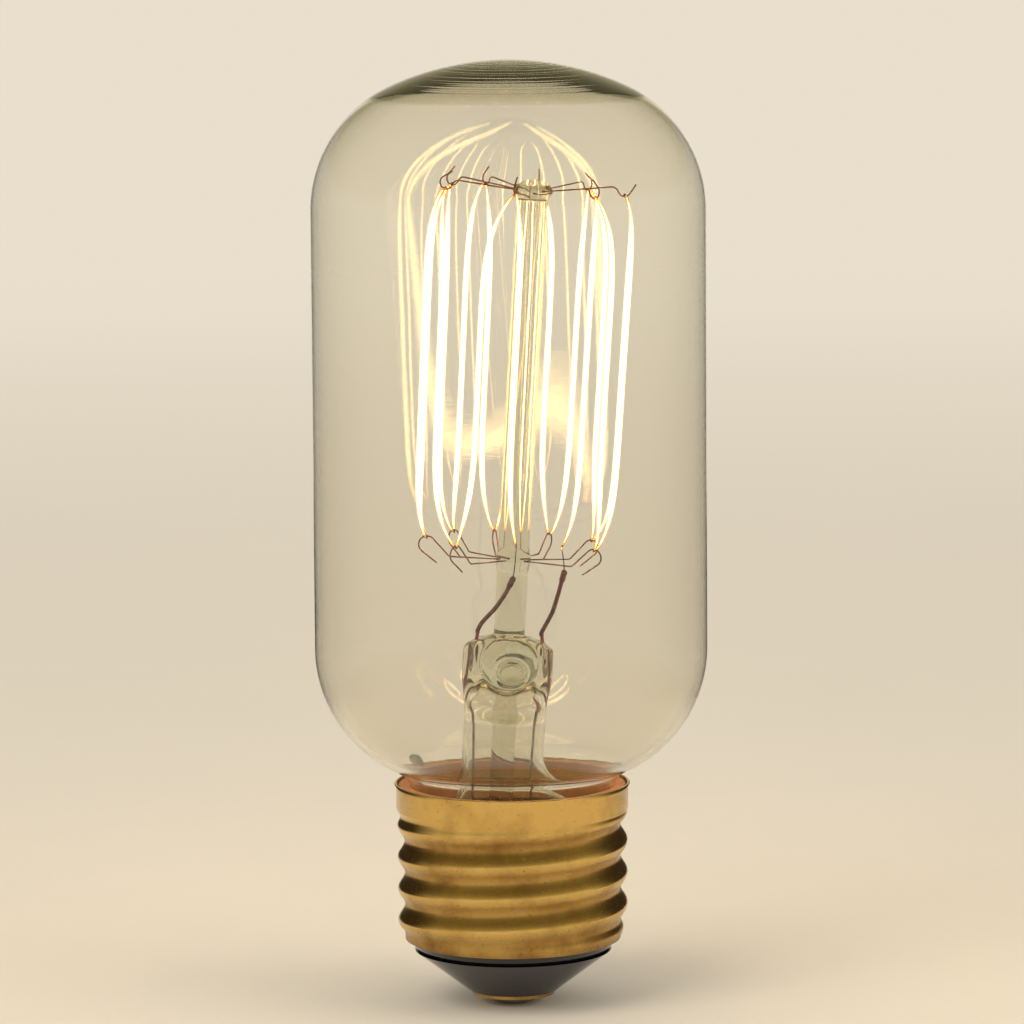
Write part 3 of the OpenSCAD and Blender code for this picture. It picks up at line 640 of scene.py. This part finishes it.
def close_tree(add, geometry, material):
    """Ends a tree in smooth real geometry with its material, and returns it."""
    smooth = add("GeometryNodeSetShadeSmooth", Geometry=geometry)
    real = add("GeometryNodeRealizeInstances", Geometry=smooth)
    last = add("GeometryNodeSetMaterial", Geometry=real, Material=material)
    return add("NodeGroupOutput", last).id_data


def wire_tree():
    """Drawn wire: a round section along the path, capped at its ends."""
    add, given = geometry_tree("Drawn wire", Radius=0.1 * MM, Sides=12, Material=None)
    curve = add("GeometryNodeMeshToCurve", Mesh=given["Geometry"])
    section = add("GeometryNodeCurvePrimitiveCircle", Resolution=given["Sides"],
                  Radius=given["Radius"])
    thick = add("GeometryNodeInputNamedAttribute", Name="thick", data_type="FLOAT")
    tube = add("GeometryNodeCurveToMesh", Curve=curve, Profile_Curve=section, Scale=thick,
               Fill_Caps=True)
    return close_tree(add, tube, given["Material"])


def coil_tree():
    """Coiled wire: the path is cut to even steps and each one is set round the last."""
    add, given = geometry_tree("Coiled filament", Pitch=0.28 * MM, Steps=8, Wire=0.065 * MM,
                               Material=None)
    curve = add("GeometryNodeMeshToCurve", Mesh=given["Geometry"])
    step = add(MATH, given["Pitch"], given["Steps"], operation="DIVIDE")
    even = add("GeometryNodeResampleCurve", Curve=curve, Length=step, mode="LENGTH")
    run = add("GeometryNodeSplineParameter").outputs["Length"]
    turns = add(MATH, run, given["Pitch"], operation="DIVIDE")
    angle = add(MATH, turns, tau, operation="MULTIPLY")
    radius = add("GeometryNodeInputNamedAttribute", Name="coil", data_type="FLOAT")
    normal = add("GeometryNodeInputNormal")
    tangent = add("GeometryNodeInputTangent")
    across = add(VECTOR, tangent, normal, operation="CROSS_PRODUCT")
    parts = []
    for function, direction in (("COSINE", normal), ("SINE", across)):
        share = add(MATH, angle, operation=function)
        reach = add(MATH, share, radius, operation="MULTIPLY")
        parts.append(add(VECTOR, direction, Scale=reach, operation="SCALE"))
    offset = add(VECTOR, parts[0], parts[1], operation="ADD")
    wound = add("GeometryNodeSetPosition", Geometry=even, Offset=offset)
    section = add("GeometryNodeCurvePrimitiveCircle", Resolution=4, Radius=given["Wire"])
    tube = add("GeometryNodeCurveToMesh", Curve=wound, Profile_Curve=section, Fill_Caps=True)
    return close_tree(add, tube, given["Material"])


def turned_tree():
    """Turned shell: the profile, at its real radii, goes once round the upright axis."""
    add, given = geometry_tree("Turned shell", Steps=192, Material=None)
    # The sweep hangs the profile on a circle of this radius, with its x outwards and its y down
    hub = 1 * MM
    spot = add("ShaderNodeSeparateXYZ", add("GeometryNodeInputPosition")).outputs
    out = add(MATH, spot["X"], hub, operation="SUBTRACT")
    down = add(MATH, spot["Z"], -1, operation="MULTIPLY")
    flat = add("ShaderNodeCombineXYZ", X=out, Y=down)
    laid = add("GeometryNodeSetPosition", Geometry=given["Geometry"], Position=flat)
    profile = add("GeometryNodeMeshToCurve", Mesh=laid)
    circle = add("GeometryNodeCurvePrimitiveCircle", Resolution=given["Steps"], Radius=hub)
    swept = add("GeometryNodeCurveToMesh", Curve=circle, Profile_Curve=profile)
    closed = add("GeometryNodeMergeByDistance", Geometry=swept, Distance=0.002 * MM)
    return close_tree(add, closed, given["Material"])


def thread_tree():
    """Rolled thread: draws the wall in along a right-hand helix that runs out at both ends."""
    add, given = geometry_tree("Rolled thread", Pitch=3.629 * MM, Depth=0.8 * MM, Foot=7.8 * MM,
                               Top=22.3 * MM, Run=1.2 * MM, Material=None)
    spot = add("ShaderNodeSeparateXYZ", add("GeometryNodeInputPosition")).outputs
    angle = add(MATH, spot["Y"], spot["X"], operation="ARCTAN2")
    rise = add(MATH, spot["Z"], given["Foot"], operation="SUBTRACT")
    turns = add(MATH, rise, given["Pitch"], operation="DIVIDE")
    phase = add(MATH, turns, tau, operation="MULTIPLY")
    along = add(MATH, phase, angle, operation="SUBTRACT")
    wave = add(MATH, along, operation="COSINE")
    hollow = add(RANGE, wave, 1.0, -1.0, 0.0, 1.0)
    near_foot = add(MATH, rise, given["Run"], operation="DIVIDE", use_clamp=True)
    below = add(MATH, given["Top"], spot["Z"], operation="SUBTRACT")
    near_top = add(MATH, below, given["Run"], operation="DIVIDE", use_clamp=True)
    # Below its foot the wall stays at the thread's root, and above its top at the collar
    rooted = add(MIX, Factor_Float=near_foot, A_Float=1.0, B_Float=hollow, data_type="FLOAT")
    share = add(MATH, rooted, near_top, operation="MULTIPLY")
    depth = add(MATH, share, given["Depth"], operation="MULTIPLY")
    inwards = add(MATH, depth, -1.0, operation="MULTIPLY")
    level = add("ShaderNodeCombineXYZ", X=spot["X"], Y=spot["Y"])
    radial = add(VECTOR, level, operation="NORMALIZE")
    offset = add(VECTOR, radial, Scale=inwards, operation="SCALE")
    rolled = add("GeometryNodeSetPosition", Geometry=given["Geometry"], Offset=offset)
    return close_tree(add, rolled, given["Material"])


def draw_wire(tree, name, path, radius, sides, metal, slot):
    """One bent wire, in place of the node of that name."""
    source = path_object(name + "_path", path)
    wire = grown(name + "_wire", source, (tree, {"Radius": radius * MM, "Sides": sides,
                                                 "Material": metal}))
    finish_piece(wire, slot, name)


# ---------------------------------------------------------------- materials

def rgba(c):
    """A colour with full cover, given as sRGB hex or as linear values."""
    return (*(linear(c) if isinstance(c, str) else c), 1.0)


def surface(name):
    """A new empty material, the call that adds its nodes, and the object's own coordinates."""
    material = bpy.data.materials.new(name)
    material.use_nodes = True
    material.node_tree.nodes.clear()
    add = partial(add_node, material.node_tree)
    return material, add, add("ShaderNodeTexCoord").outputs["Object"]


def coat(add, share, first, second, **inputs):
    """A shader whose colour goes from the first to the second with share."""
    tint = add(MIX, Factor_Float=share, A_Color=rgba(first), B_Color=rgba(second),
               data_type="RGBA")
    return add(PRINCIPLED, Base_Color=tint, **inputs)


def rays(add, *kinds):
    """1 for rays of these kinds, and 0 for all others."""
    path = add("ShaderNodeLightPath").outputs
    share = path[kinds[0]]
    for kind in kinds[1:]:
        share = add(MATH, share, path[kind], operation="MAXIMUM").outputs[0]
    return share


SHOWING = ("Is Camera Ray", "Is Glossy Ray", "Is Transmission Ray")


def blown_glass(name, ior, wave_mm, wave_height_mm, body_density):
    """Clear lime or lead glass, blown or drawn in a flame as it turns: hardly any colour straight
    through it but olive along it, a fire-polished skin, slow waves that bend what shows behind
    it, and faint level rings."""
    material, add, place = surface(name)
    waves = add(NOISE, Vector=place, Scale=1 / (wave_mm * MM), Detail=1.0)
    bump = add(BUMP, Strength=1.0, Distance=wave_height_mm * MM, Height=waves)
    level = add("ShaderNodeMapping", Vector=place, Scale=(0.12, 0.12, 1.0))
    rings = add(NOISE, Vector=level, Scale=1 / (1.3 * MM), Detail=2.0)
    turned = add(BUMP, Strength=1.0, Distance=0.005 * MM, Height=rings, Normal=bump)
    glass = add(PRINCIPLED, Base_Color=rgba(bpy.context.scene.lamp_colours.glass), Roughness=0.0,
                IOR=ior, Transmission_Weight=1.0, Normal=turned)
    # Lamps and the glow of the filament pass the thin wall as light passes real clear glass
    clear = add("ShaderNodeBsdfTransparent", Color=rgba("#F7F7F6"))
    both = add("ShaderNodeMixShader", rays(add, "Is Shadow Ray", "Is Diffuse Ray"), glass, clear)
    body = add("ShaderNodeVolumeAbsorption", Color=rgba("#DADBC2"), Density=body_density)
    add(OUTPUT, Surface=both, Volume=body)
    return material


def glowing_wire(name, strength, hot):
    """Drawn tungsten wire at working heat: it glows yellow-white along the legs, and dull red
    where a hook or a clamp cools it. Cold, it is a dull dark grey."""
    warm = bpy.context.scene.lamp_colours.warm
    material, add, place = surface(name)
    heat = add("ShaderNodeAttribute", attribute_name="glow").outputs["Fac"]
    uneven = add(NOISE, Vector=place, Scale=1 / (3 * MM), Detail=2.0)
    dip = add(RANGE, uneven, 0.3, 0.7, 0.9, 1.0)
    real = add(MATH, heat, dip, operation="MULTIPLY")
    glow = add("ShaderNodeValToRGB", Fac=real)
    ramp = glow.color_ramp
    ramp.elements[0].position, ramp.elements[0].color = 0.0, (0, 0, 0, 1)
    ramp.elements[1].position, ramp.elements[1].color = 0.85, rgba(hot)
    for position, share in ((0.25, 0.1), (0.55, 0.5)):
        ramp.elements.new(position).color = rgba([share * x for x in warm])
    wire = add(PRINCIPLED, Base_Color=rgba("#2E2A28"), Metallic=1.0, Roughness=0.5,
               Emission_Color=glow, Emission_Strength=strength)
    add(OUTPUT, Surface=wire)
    return material


def drawn_wire(name, main, oxide, roughness, patch_mm):
    """Drawn wire with a heat-oxidised skin: soft metal gloss, darker and duller in patches, and
    a fine grain from the die."""
    material, add, place = surface(name)
    patches = add(NOISE, Vector=place, Scale=1 / (patch_mm * MM), Detail=5.0)
    dull = add(RANGE, patches, 0.38, 0.66)
    rough = add(RANGE, dull, To_Min=roughness, To_Max=roughness + 0.25)
    grain = add(NOISE, Vector=place, Scale=1 / (0.15 * MM), Detail=2.0)
    bump = add(BUMP, Strength=0.6, Distance=0.01 * MM, Height=grain)
    wire = coat(add, dull, main, oxide, Metallic=1.0, Roughness=rough, Normal=bump)
    add(OUTPUT, Surface=wire)
    return material


def rolled_brass(name):
    """Thin brass sheet, drawn and rolled: a golden gloss with rolling lines round it, brown
    tarnish in thin clouds, specks and the hollows of the thread, and bare bright crests."""
    s, c = sizes(), bpy.context.scene.lamp_colours
    material, add, place = surface(name)
    spot = add("ShaderNodeSeparateXYZ", place).outputs
    level = add("ShaderNodeCombineXYZ", X=spot["X"], Y=spot["Y"])
    reach = add(VECTOR, level, operation="LENGTH")
    hollow = add(RANGE, reach, s.crest_r * MM, s.root_r * MM)
    clouds = add(NOISE, Vector=place, Scale=1 / (5 * MM), Detail=6.0, Roughness=0.6)
    patch = add(RANGE, clouds, 0.45, 0.85, To_Max=0.7)
    flecks = add(NOISE, Vector=place, Scale=1 / (0.4 * MM), Detail=4.0)
    speck = add(RANGE, flecks, 0.62, 0.74, To_Max=0.4)
    spots = add(MATH, patch, speck, operation="ADD")
    wear = add(MATH, hollow, 0.5, spots, operation="MULTIPLY_ADD", use_clamp=True)
    rough = add(RANGE, wear, To_Min=0.2, To_Max=0.44)
    # Rolling lines run level round the shell, about five to the millimetre
    stretched = add("ShaderNodeMapping", Vector=place, Scale=(0.08, 0.08, 1.0))
    lines = add(NOISE, Vector=stretched, Scale=1 / (0.2 * MM), Detail=3.0)
    bump = add(BUMP, Strength=0.9, Distance=0.012 * MM, Height=lines)
    brass = coat(add, wear, c.brass, c.tarnish, Metallic=1.0, Roughness=rough, Normal=bump)
    add(OUTPUT, Surface=brass)
    return material


def moulded_black_glass(name):
    """Black lime glass pressed hot into the shell: a deep wet gloss, with the flow marks and dull
    chill patches that the mould leaves."""
    c = bpy.context.scene.lamp_colours
    material, add, place = surface(name)
    flow = add(NOISE, Vector=place, Scale=1 / (3 * MM), Detail=4.0, Distortion=1.2)
    rough = add(RANGE, flow, 0.35, 0.7, 0.05, 0.18)
    bump = add(BUMP, Strength=0.5, Distance=0.04 * MM, Height=flow)
    glass = coat(add, flow, c.black_glass, "#121016", IOR=1.52, Roughness=rough, Normal=bump)
    add(OUTPUT, Surface=glass)
    return material


def solder_metal(name):
    """Tin and lead solder, set in the air: bright silver grey, dull where the flux sat, with a
    frosted grain and shallow wrinkles."""
    c = bpy.context.scene.lamp_colours
    material, add, place = surface(name)
    grain = add(NOISE, Vector=place, Scale=1 / (0.7 * MM), Detail=6.0)
    rough = add(RANGE, grain, 0.3, 0.7, 0.55, 0.28)
    bump = add(BUMP, Strength=0.8, Distance=0.05 * MM, Height=grain)
    metal = coat(add, grain, "#7F7E7B", c.solder, Metallic=1.0, Roughness=rough, Normal=bump)
    add(OUTPUT, Surface=metal)
    return material


def baked_cement(name):
    """Basing cement of resin and stone flour, baked hard: matt tan with pale and dark grains and
    small pits."""
    c = bpy.context.scene.lamp_colours
    material, add, place = surface(name)
    grains = add("ShaderNodeTexVoronoi", Vector=place, Scale=1 / (0.35 * MM))
    dirt = add(NOISE, Vector=place, Scale=1 / (2.5 * MM), Detail=6.0)
    share = add(MATH, grains, dirt, operation="MULTIPLY")
    bump = add(BUMP, Strength=0.8, Distance=0.06 * MM, Height=grains)
    cement = coat(add, share, c.cement, "#8E5A34", Roughness=0.85, Normal=bump)
    add(OUTPUT, Surface=cement)
    return material


def dress(name, material):
    """Gives a CAD solid its real surface."""
    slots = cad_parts[name].data.materials
    slots.clear()
    slots.append(material)


# ---------------------------------------------------------------- stage

def lay_floor():
    """A pale painted board, which runs on into an even pale background far from the lamp."""
    pale = bpy.context.scene.lamp_colours.floor
    # Its half width in mm, and from where to where, in m, it fades into the background
    wide, fade_m = 12000, (0.08, 1.1)
    floor = mesh_object("floor_board", [(-wide, -wide, 0), (wide, -wide, 0), (wide, wide, 0),
                                        (-wide, wide, 0)], [(0, 1, 2, 3)])
    material, add, place = surface("matt_painted_board")
    fleck = add(NOISE, Vector=place, Scale=1 / (30 * MM), Detail=4.0)
    board = coat(add, fleck, [0.97 * x for x in pale], pale, Roughness=0.9)
    far = add(VECTOR, place, operation="LENGTH")
    fade = add(RANGE, far, *fade_m, interpolation_type="SMOOTHSTEP")
    share = add(MATH, fade, rays(add, *SHOWING), operation="MULTIPLY")
    even = add("ShaderNodeEmission", Color=rgba(pale), Strength=1.0)
    both = add("ShaderNodeMixShader", share, board, even)
    add(OUTPUT, Surface=both)
    floor.data.materials.append(material)


def hang_reflection_sheet(name, side):
    """A dark sheet, which only mirrored rays see: a painted reflection that gives glass and brass
    their dark outlines, as in the photograph. It shades nothing and shows in no view."""
    near_x, far_x, start_y, end_y, top_z = 25, 120, -60, 540, 360
    reflection_sheet = mesh_object(name, [
        (x * side, y, z) for x, z in ((near_x, 1), (far_x, 1), (far_x, top_z))
        for y in (start_y, end_y)], [(0, 1, 3, 2), (2, 3, 5, 4)])
    material, add, place = surface("dark_reflection_sheet")
    weave = add(NOISE, Vector=place, Scale=1 / (4 * MM))
    # Its dark tone, with a faint weave, is a painted reflection: only mirrored rays see it
    painted_dark = coat(add, weave, "#2A241C", "#393126", Roughness=0.95)
    # It thins out towards its edges, so that no edge of it shows in the glass
    middle = (far_x * side * MM, (start_y + end_y) / 2 * MM, 0.0)
    off = add(VECTOR, place, middle, operation="SUBTRACT")
    # One over the reach, in metres, from its middle to its edges
    squeeze = (10.5, 3.33, 2.8)
    flat = add(VECTOR, off, squeeze, operation="MULTIPLY")
    away = add(VECTOR, flat, operation="LENGTH")
    thin = add(RANGE, away, 0.6, 1.0, interpolation_type="SMOOTHSTEP")
    gauze = add("ShaderNodeBsdfTransparent")
    both = add("ShaderNodeMixShader", thin, painted_dark, gauze)
    add(OUTPUT, Surface=both)
    reflection_sheet.data.materials.append(material)
    # Hidden from camera, glass, lamps and shadows, it is a painted reflection that only mirrored
    # rays show
    reflection_sheet.visible_camera = reflection_sheet.visible_transmission = False
    reflection_sheet.visible_diffuse = reflection_sheet.visible_shadow = False


def light_sky():
    """A studio that is pale at the horizon and falls off to olive grey overhead. What isn't seen
    straight, mirrored or through glass gets plain soft light from all round instead."""
    world = bpy.data.worlds.new("studio")
    bpy.context.scene.world = world
    world.use_nodes = True
    world.node_tree.nodes.clear()
    add = partial(add_node, world.node_tree)
    way = add("ShaderNodeTexCoord").outputs["Generated"]
    spot = add("ShaderNodeSeparateXYZ", way).outputs
    sky = add("ShaderNodeValToRGB", Fac=spot["Z"])
    ramp = sky.color_ramp
    ramp.interpolation = "EASE"
    ramp.elements[0].position = 0.08
    ramp.elements[0].color = rgba(bpy.context.scene.lamp_colours.floor)
    ramp.elements[1].position, ramp.elements[1].color = 0.90, rgba("#7A7050")
    for height, tone in ((0.25, "#C6BC93"), (0.50, "#A59B72")):
        ramp.elements.new(height).color = rgba(tone)
    seen = add("ShaderNodeBackground", Color=sky, Strength=1.0)
    soft = add("ShaderNodeBackground", Color=rgba("#FFFCF6"), Strength=0.62)
    both = add("ShaderNodeMixShader", rays(add, *SHOWING), soft, seen)
    add("ShaderNodeOutputWorld", Surface=both)


def hang_lamp(name, place_m, power, tint):
    """A soft lamp that faces the middle of the bulb and isn't mirrored in it."""
    size_m, middle = 0.9, Vector((0, 0, 0.055))
    data = bpy.data.lights.new(name, "AREA")
    data.size, data.energy, data.color = size_m, power, linear(tint)
    lamp = bpy.data.objects.new(name, data)
    lamp.location = place_m
    lamp.rotation_mode = "QUATERNION"
    lamp.rotation_quaternion = (middle - lamp.location).to_track_quat("-Z", "Y")
    lamp.visible_glossy = lamp.visible_transmission = False
    bpy.context.scene.collection.objects.link(lamp)


def set_camera():
    """The camera stands 618 mm off, seven degrees up and a little rolled, with a long lens."""
    scene = bpy.context.scene
    data = bpy.data.cameras.new("camera")
    data.sensor_width, data.lens = 36.0, 192.0
    data.clip_start, data.clip_end = 0.05, 50.0
    camera = bpy.data.objects.new("camera", data)
    tilt, roll, reach = radians(6.9), radians(-0.4), 0.618
    aim_x, aim_z = 0.0002, 0.0563
    camera.location = (aim_x, -reach * cos(tilt), aim_z + reach * sin(tilt))
    camera.rotation_mode = "QUATERNION"
    camera.rotation_quaternion = (Quaternion((1, 0, 0), radians(90) - tilt)
                                  @ Quaternion((0, 0, 1), roll))
    scene.collection.objects.link(camera)
    scene.camera = camera
    scene.view_settings.view_transform = "Standard"


# ---------------------------------------------------------------- operators

class LAMP_OT_envelope(bpy.types.Operator):
    """Blows the clear glass bulb"""
    bl_idname = "lamp.envelope"
    bl_label = "Glass bulb"

    def execute(self, context):
        s, shape = sizes(), context.scene.lamp_shape
        # The fine rings under the crown: their height in mm, and two spacings in radians a mm
        ring_h, ring_a, ring_b = 0.0022, 7.3, 12.1

        def outline(t, n):
            """The glass, t inside its outer face, from the neck's foot up to the crown."""
            rows = [(s.neck_r - t, z) for z in (s.seal_z, s.seal_z + 1.2, s.fillet_z)]
            rows += arc((s.fillet_x, s.fillet_z), s.fillet_r + t, 180, 180 + s.low_a, 12)
            rows += arc((s.shoulder_x, s.low_z), s.shoulder_r - t, s.low_a, 0, n)
            rows += [(s.bulb_r - t, mix(s.low_z, s.top_z, i / 10)) for i in range(1, 11)]
            rows += arc((s.shoulder_x, s.top_z), s.shoulder_r - t, 0, s.top_a, n)
            rows += arc((0, s.crown_z), s.crown_r - t, s.top_a, 90, 130)
            rows[-1] = (0, s.overall_h - t)
            return rows

        def gathered(r, z):
            """The glass gathers under the crown: its inside is flatter there, with fine rings."""
            if z <= s.top_z:
                return r, z
            more = s.crown_t - s.glass_t + ring_h * cos(ring_a * r) + ring_h * cos(ring_b * r)
            return r, z - more * max(0, 1 - (r / s.crown_reach) ** 2)

        # Down the outside from the crown, and back up the inside
        profile = outline(0, 36)[::-1] + [gathered(*p) for p in outline(s.glass_t, 36)]
        source = path_object("bulb_profile", [(x, 0, z) for x, z in profile])
        glass = blown_glass("blown_lime_glass", 1.5, 14, 0.012, 90.0)
        bulb = grown("glass_bulb", source, (turned_tree(), {"Steps": shape.glass_steps,
                                                            "Material": glass}))
        finish_piece(bulb, "clear_glass", "envelope")
        return {"FINISHED"}


class LAMP_OT_stem(bpy.types.Operator):
    """Fuses the flare, press, exhaust tube, arbor and button from clear glass"""
    bl_idname = "lamp.stem"
    bl_label = "Glass stem"

    def execute(self, context):
        verts, faces = skin(stem_rings())
        stem = mesh_object("glass_stem", verts, faces)
        stem.data.materials.append(blown_glass("drawn_lead_glass", 1.54, 2.2, 0.02, 190.0))
        finish_piece(stem, "clear_glass", "stem_flare", "stem_press", "exhaust_tube",
                     "arbor_rod", "arbor_button")
        return {"FINISHED"}


class LAMP_OT_filament(bpy.types.Operator):
    """Coils the filament along its path over the hooks"""
    bl_idname = "lamp.filament"
    bl_label = "Coiled filament"

    def execute(self, context):
        s, shape, c = sizes(), context.scene.lamp_shape, context.scene.lamp_colours
        points, radii, heats = filament_points()
        # The winding stays dull a little further from the hooks than the core
        cool_r = s.coil_hook_r * 0.6
        source = path_object("winding_path", points, coil=(radii - s.coil_wire_r) * MM,
                             glow=heats * heats * (radii - cool_r) / (s.coil_r - cool_r))
        winding = grown("filament_winding", source, (coil_tree(), {
            "Pitch": s.coil_pitch * MM, "Steps": shape.coil_steps, "Wire": s.coil_wire_r * MM,
            "Material": glowing_wire("incandescent_fine_winding", 7.0, c.halo)}))
        finish_piece(winding, "glowing_filament", "filament")
        source = path_object("core_path", points, thick=radii / s.coil_r, glow=heats)
        core = grown("filament_core", source, (wire_tree(), {
            "Radius": s.core_r * MM, "Sides": 10,
            "Material": glowing_wire("incandescent_core_wire", 140.0, c.hot)}))
        finish_piece(core, "glowing_filament", "filament")
        return {"FINISHED"}


class LAMP_OT_hooks(bpy.types.Operator):
    """Bends the fine hooks that carry the filament"""
    bl_idname = "lamp.hooks"
    bl_label = "Wire hooks"

    def execute(self, context):
        c = context.scene.lamp_colours
        metal = drawn_wire("heat_dulled_molybdenum", c.hook, "#4A3026", 0.35, 1.5)
        tree = wire_tree()
        for name, path in hook_paths().items():
            draw_wire(tree, name, path, sizes().hook_wire_r, 12, metal, "hook_wire")
        return {"FINISHED"}


class LAMP_OT_leads(bpy.types.Operator):
    """Bends the lead wires from the clamps down to the base"""
    bl_idname = "lamp.leads"
    bl_label = "Lead wires"

    def execute(self, context):
        s, c = sizes(), context.scene.lamp_colours
        copper = drawn_wire("oxidised_copper_wire", c.lead, c.lead_oxide, 0.32, 1.2)
        dumet = drawn_wire("borated_dumet_wire", c.dumet, "#6E2416", 0.25, 0.8)
        tinned = drawn_wire("tinned_copper_wire", "#8C8078", "#6A4434", 0.3, 1.0)
        tree = wire_tree()
        for name, paths, radius, metal, slot in (
                ("inner_lead", [from_stem(spline(p, 14)) for p in lead_paths()], s.lead_r,
                 copper, "copper_lead"),
                ("dumet_wire", [from_stem(spline(p, 10)) for p in sealed_paths()], s.dumet_r,
                 dumet, "dumet"),
                ("outer_lead", [spline(p, 10) for p in outer_paths()], s.outer_lead_r,
                 tinned, "outer_wire")):
            for i, path in enumerate(paths):
                draw_wire(tree, f"{name}_{i + 1}", path, radius, 16, metal, slot)
        for name in ("lead_clamp_1", "lead_clamp_2"):
            dress(name, copper)
        return {"FINISHED"}


class LAMP_OT_shell(bpy.types.Operator):
    """Rolls the brass screw shell"""
    bl_idname = "lamp.shell"
    bl_label = "Screw shell"

    def execute(self, context):
        s, shape = sizes(), context.scene.lamp_shape
        foot = s.thread_foot - 0.3
        wall = [(s.lip_r, s.lip_foot), (mix(s.lip_r, s.root_r, 0.5), mix(s.lip_foot, foot, 0.5)),
                (s.crest_r, foot)]
        wall += [(s.crest_r, z) for z in np.linspace(s.thread_foot, s.thread_top, 150)]
        # The collar, and the rim that is turned out a little on top of it
        wall += [(s.collar_r, s.thread_top + 0.25), (s.collar_r, s.shell_h - 0.5),
                 (s.collar_r + 0.2, s.shell_h - 0.08)]
        rim = [(s.collar_r + 0.14, s.shell_h), (s.collar_r - 0.05, s.shell_h)]
        inside = [(r - s.sheet_t, z) for r, z in wall[::-1]]
        loop = wall + rim + inside + [wall[0]]
        source = path_object("shell_profile", [(r, 0, z) for r, z in loop[::-1]])
        brass = rolled_brass("rolled_tarnished_brass")
        shell = grown("screw_shell_brass", source,
                      (turned_tree(), {"Steps": shape.thread_steps, "Material": brass}),
                      (thread_tree(), {"Pitch": s.thread_pitch * MM, "Depth": s.thread_depth * MM,
                                       "Foot": s.thread_foot * MM, "Top": s.thread_top * MM,
                                       "Run": s.thread_run * MM, "Material": brass}))
        finish_piece(shell, "brass_shell", "screw_shell")
        return {"FINISHED"}


class LAMP_OT_base(bpy.types.Operator):
    """Finishes the insulator, contact, solder and cement"""
    bl_idname = "lamp.base"
    bl_label = "Base fittings"

    def execute(self, context):
        dress("base_insulator", moulded_black_glass("moulded_black_glass"))
        dress("centre_contact", rolled_brass("stamped_brass_contact"))
        dress("tip_solder", solder_metal("soft_solder"))
        dress("side_solder", solder_metal("soft_solder"))
        dress("basing_cement", baked_cement("baked_basing_cement"))
        return {"FINISHED"}


class LAMP_OT_stage(bpy.types.Operator):
    """Lays the pale floor, hangs the dark sheets that only reflections show, and sets the studio
    light, lamps and camera
    """
    bl_idname = "lamp.stage"
    bl_label = "Floor, lamps and camera"

    def execute(self, context):
        lay_floor()
        # Dark sheets seen only in reflections paint the dark outlines of the glass and brass
        hang_reflection_sheet("reflection_sheet_left", -1)
        hang_reflection_sheet("reflection_sheet_right", 1)
        light_sky()
        hang_lamp("key_lamp", (-0.8, -0.9, 1.1), 12.0, "#FFF8EE")
        hang_lamp("fill_lamp", (1.1, -0.5, 0.8), 5.0, "#FFFAF4")
        set_camera()
        return {"FINISHED"}


class LAMP_PT_panel(bpy.types.Panel):
    """Lists the lamp's sizes, colours and pieces"""
    bl_idname = "LAMP_PT_panel"
    bl_label = "Filament Lamp"
    bl_space_type = "VIEW_3D"
    bl_region_type = "UI"
    bl_category = "Filament Lamp"

    def draw(self, context):
        layout = self.layout
        for operator in OPERATORS:
            layout.operator(operator.bl_idname)
        for label, group in (("Sizes", context.scene.lamp_sizes),
                             ("Shape", context.scene.lamp_shape),
                             ("Colours", context.scene.lamp_colours)):
            box = layout.box()
            box.label(text=label)
            for key in type(group).__annotations__:
                box.prop(group, key)


OPERATORS = (LAMP_OT_envelope, LAMP_OT_stem, LAMP_OT_filament, LAMP_OT_hooks, LAMP_OT_leads,
             LAMP_OT_shell, LAMP_OT_base, LAMP_OT_stage)
CLASSES = (LampSizes, LampShape, LampColours) + OPERATORS + (LAMP_PT_panel,)


def register():
    for cls in CLASSES:
        bpy.utils.register_class(cls)
    bpy.types.Scene.lamp_sizes = PointerProperty(type=LampSizes)
    bpy.types.Scene.lamp_shape = PointerProperty(type=LampShape)
    bpy.types.Scene.lamp_colours = PointerProperty(type=LampColours)


def unregister():
    del bpy.types.Scene.lamp_sizes, bpy.types.Scene.lamp_shape, bpy.types.Scene.lamp_colours
    for cls in reversed(CLASSES):
        bpy.utils.unregister_class(cls)


def main():
    register()
    for make in (bpy.ops.lamp.envelope, bpy.ops.lamp.stem, bpy.ops.lamp.filament,
                 bpy.ops.lamp.hooks, bpy.ops.lamp.leads, bpy.ops.lamp.shell, bpy.ops.lamp.base,
                 bpy.ops.lamp.stage):
        make()
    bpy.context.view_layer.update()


if __name__ == "__main__":
    main()
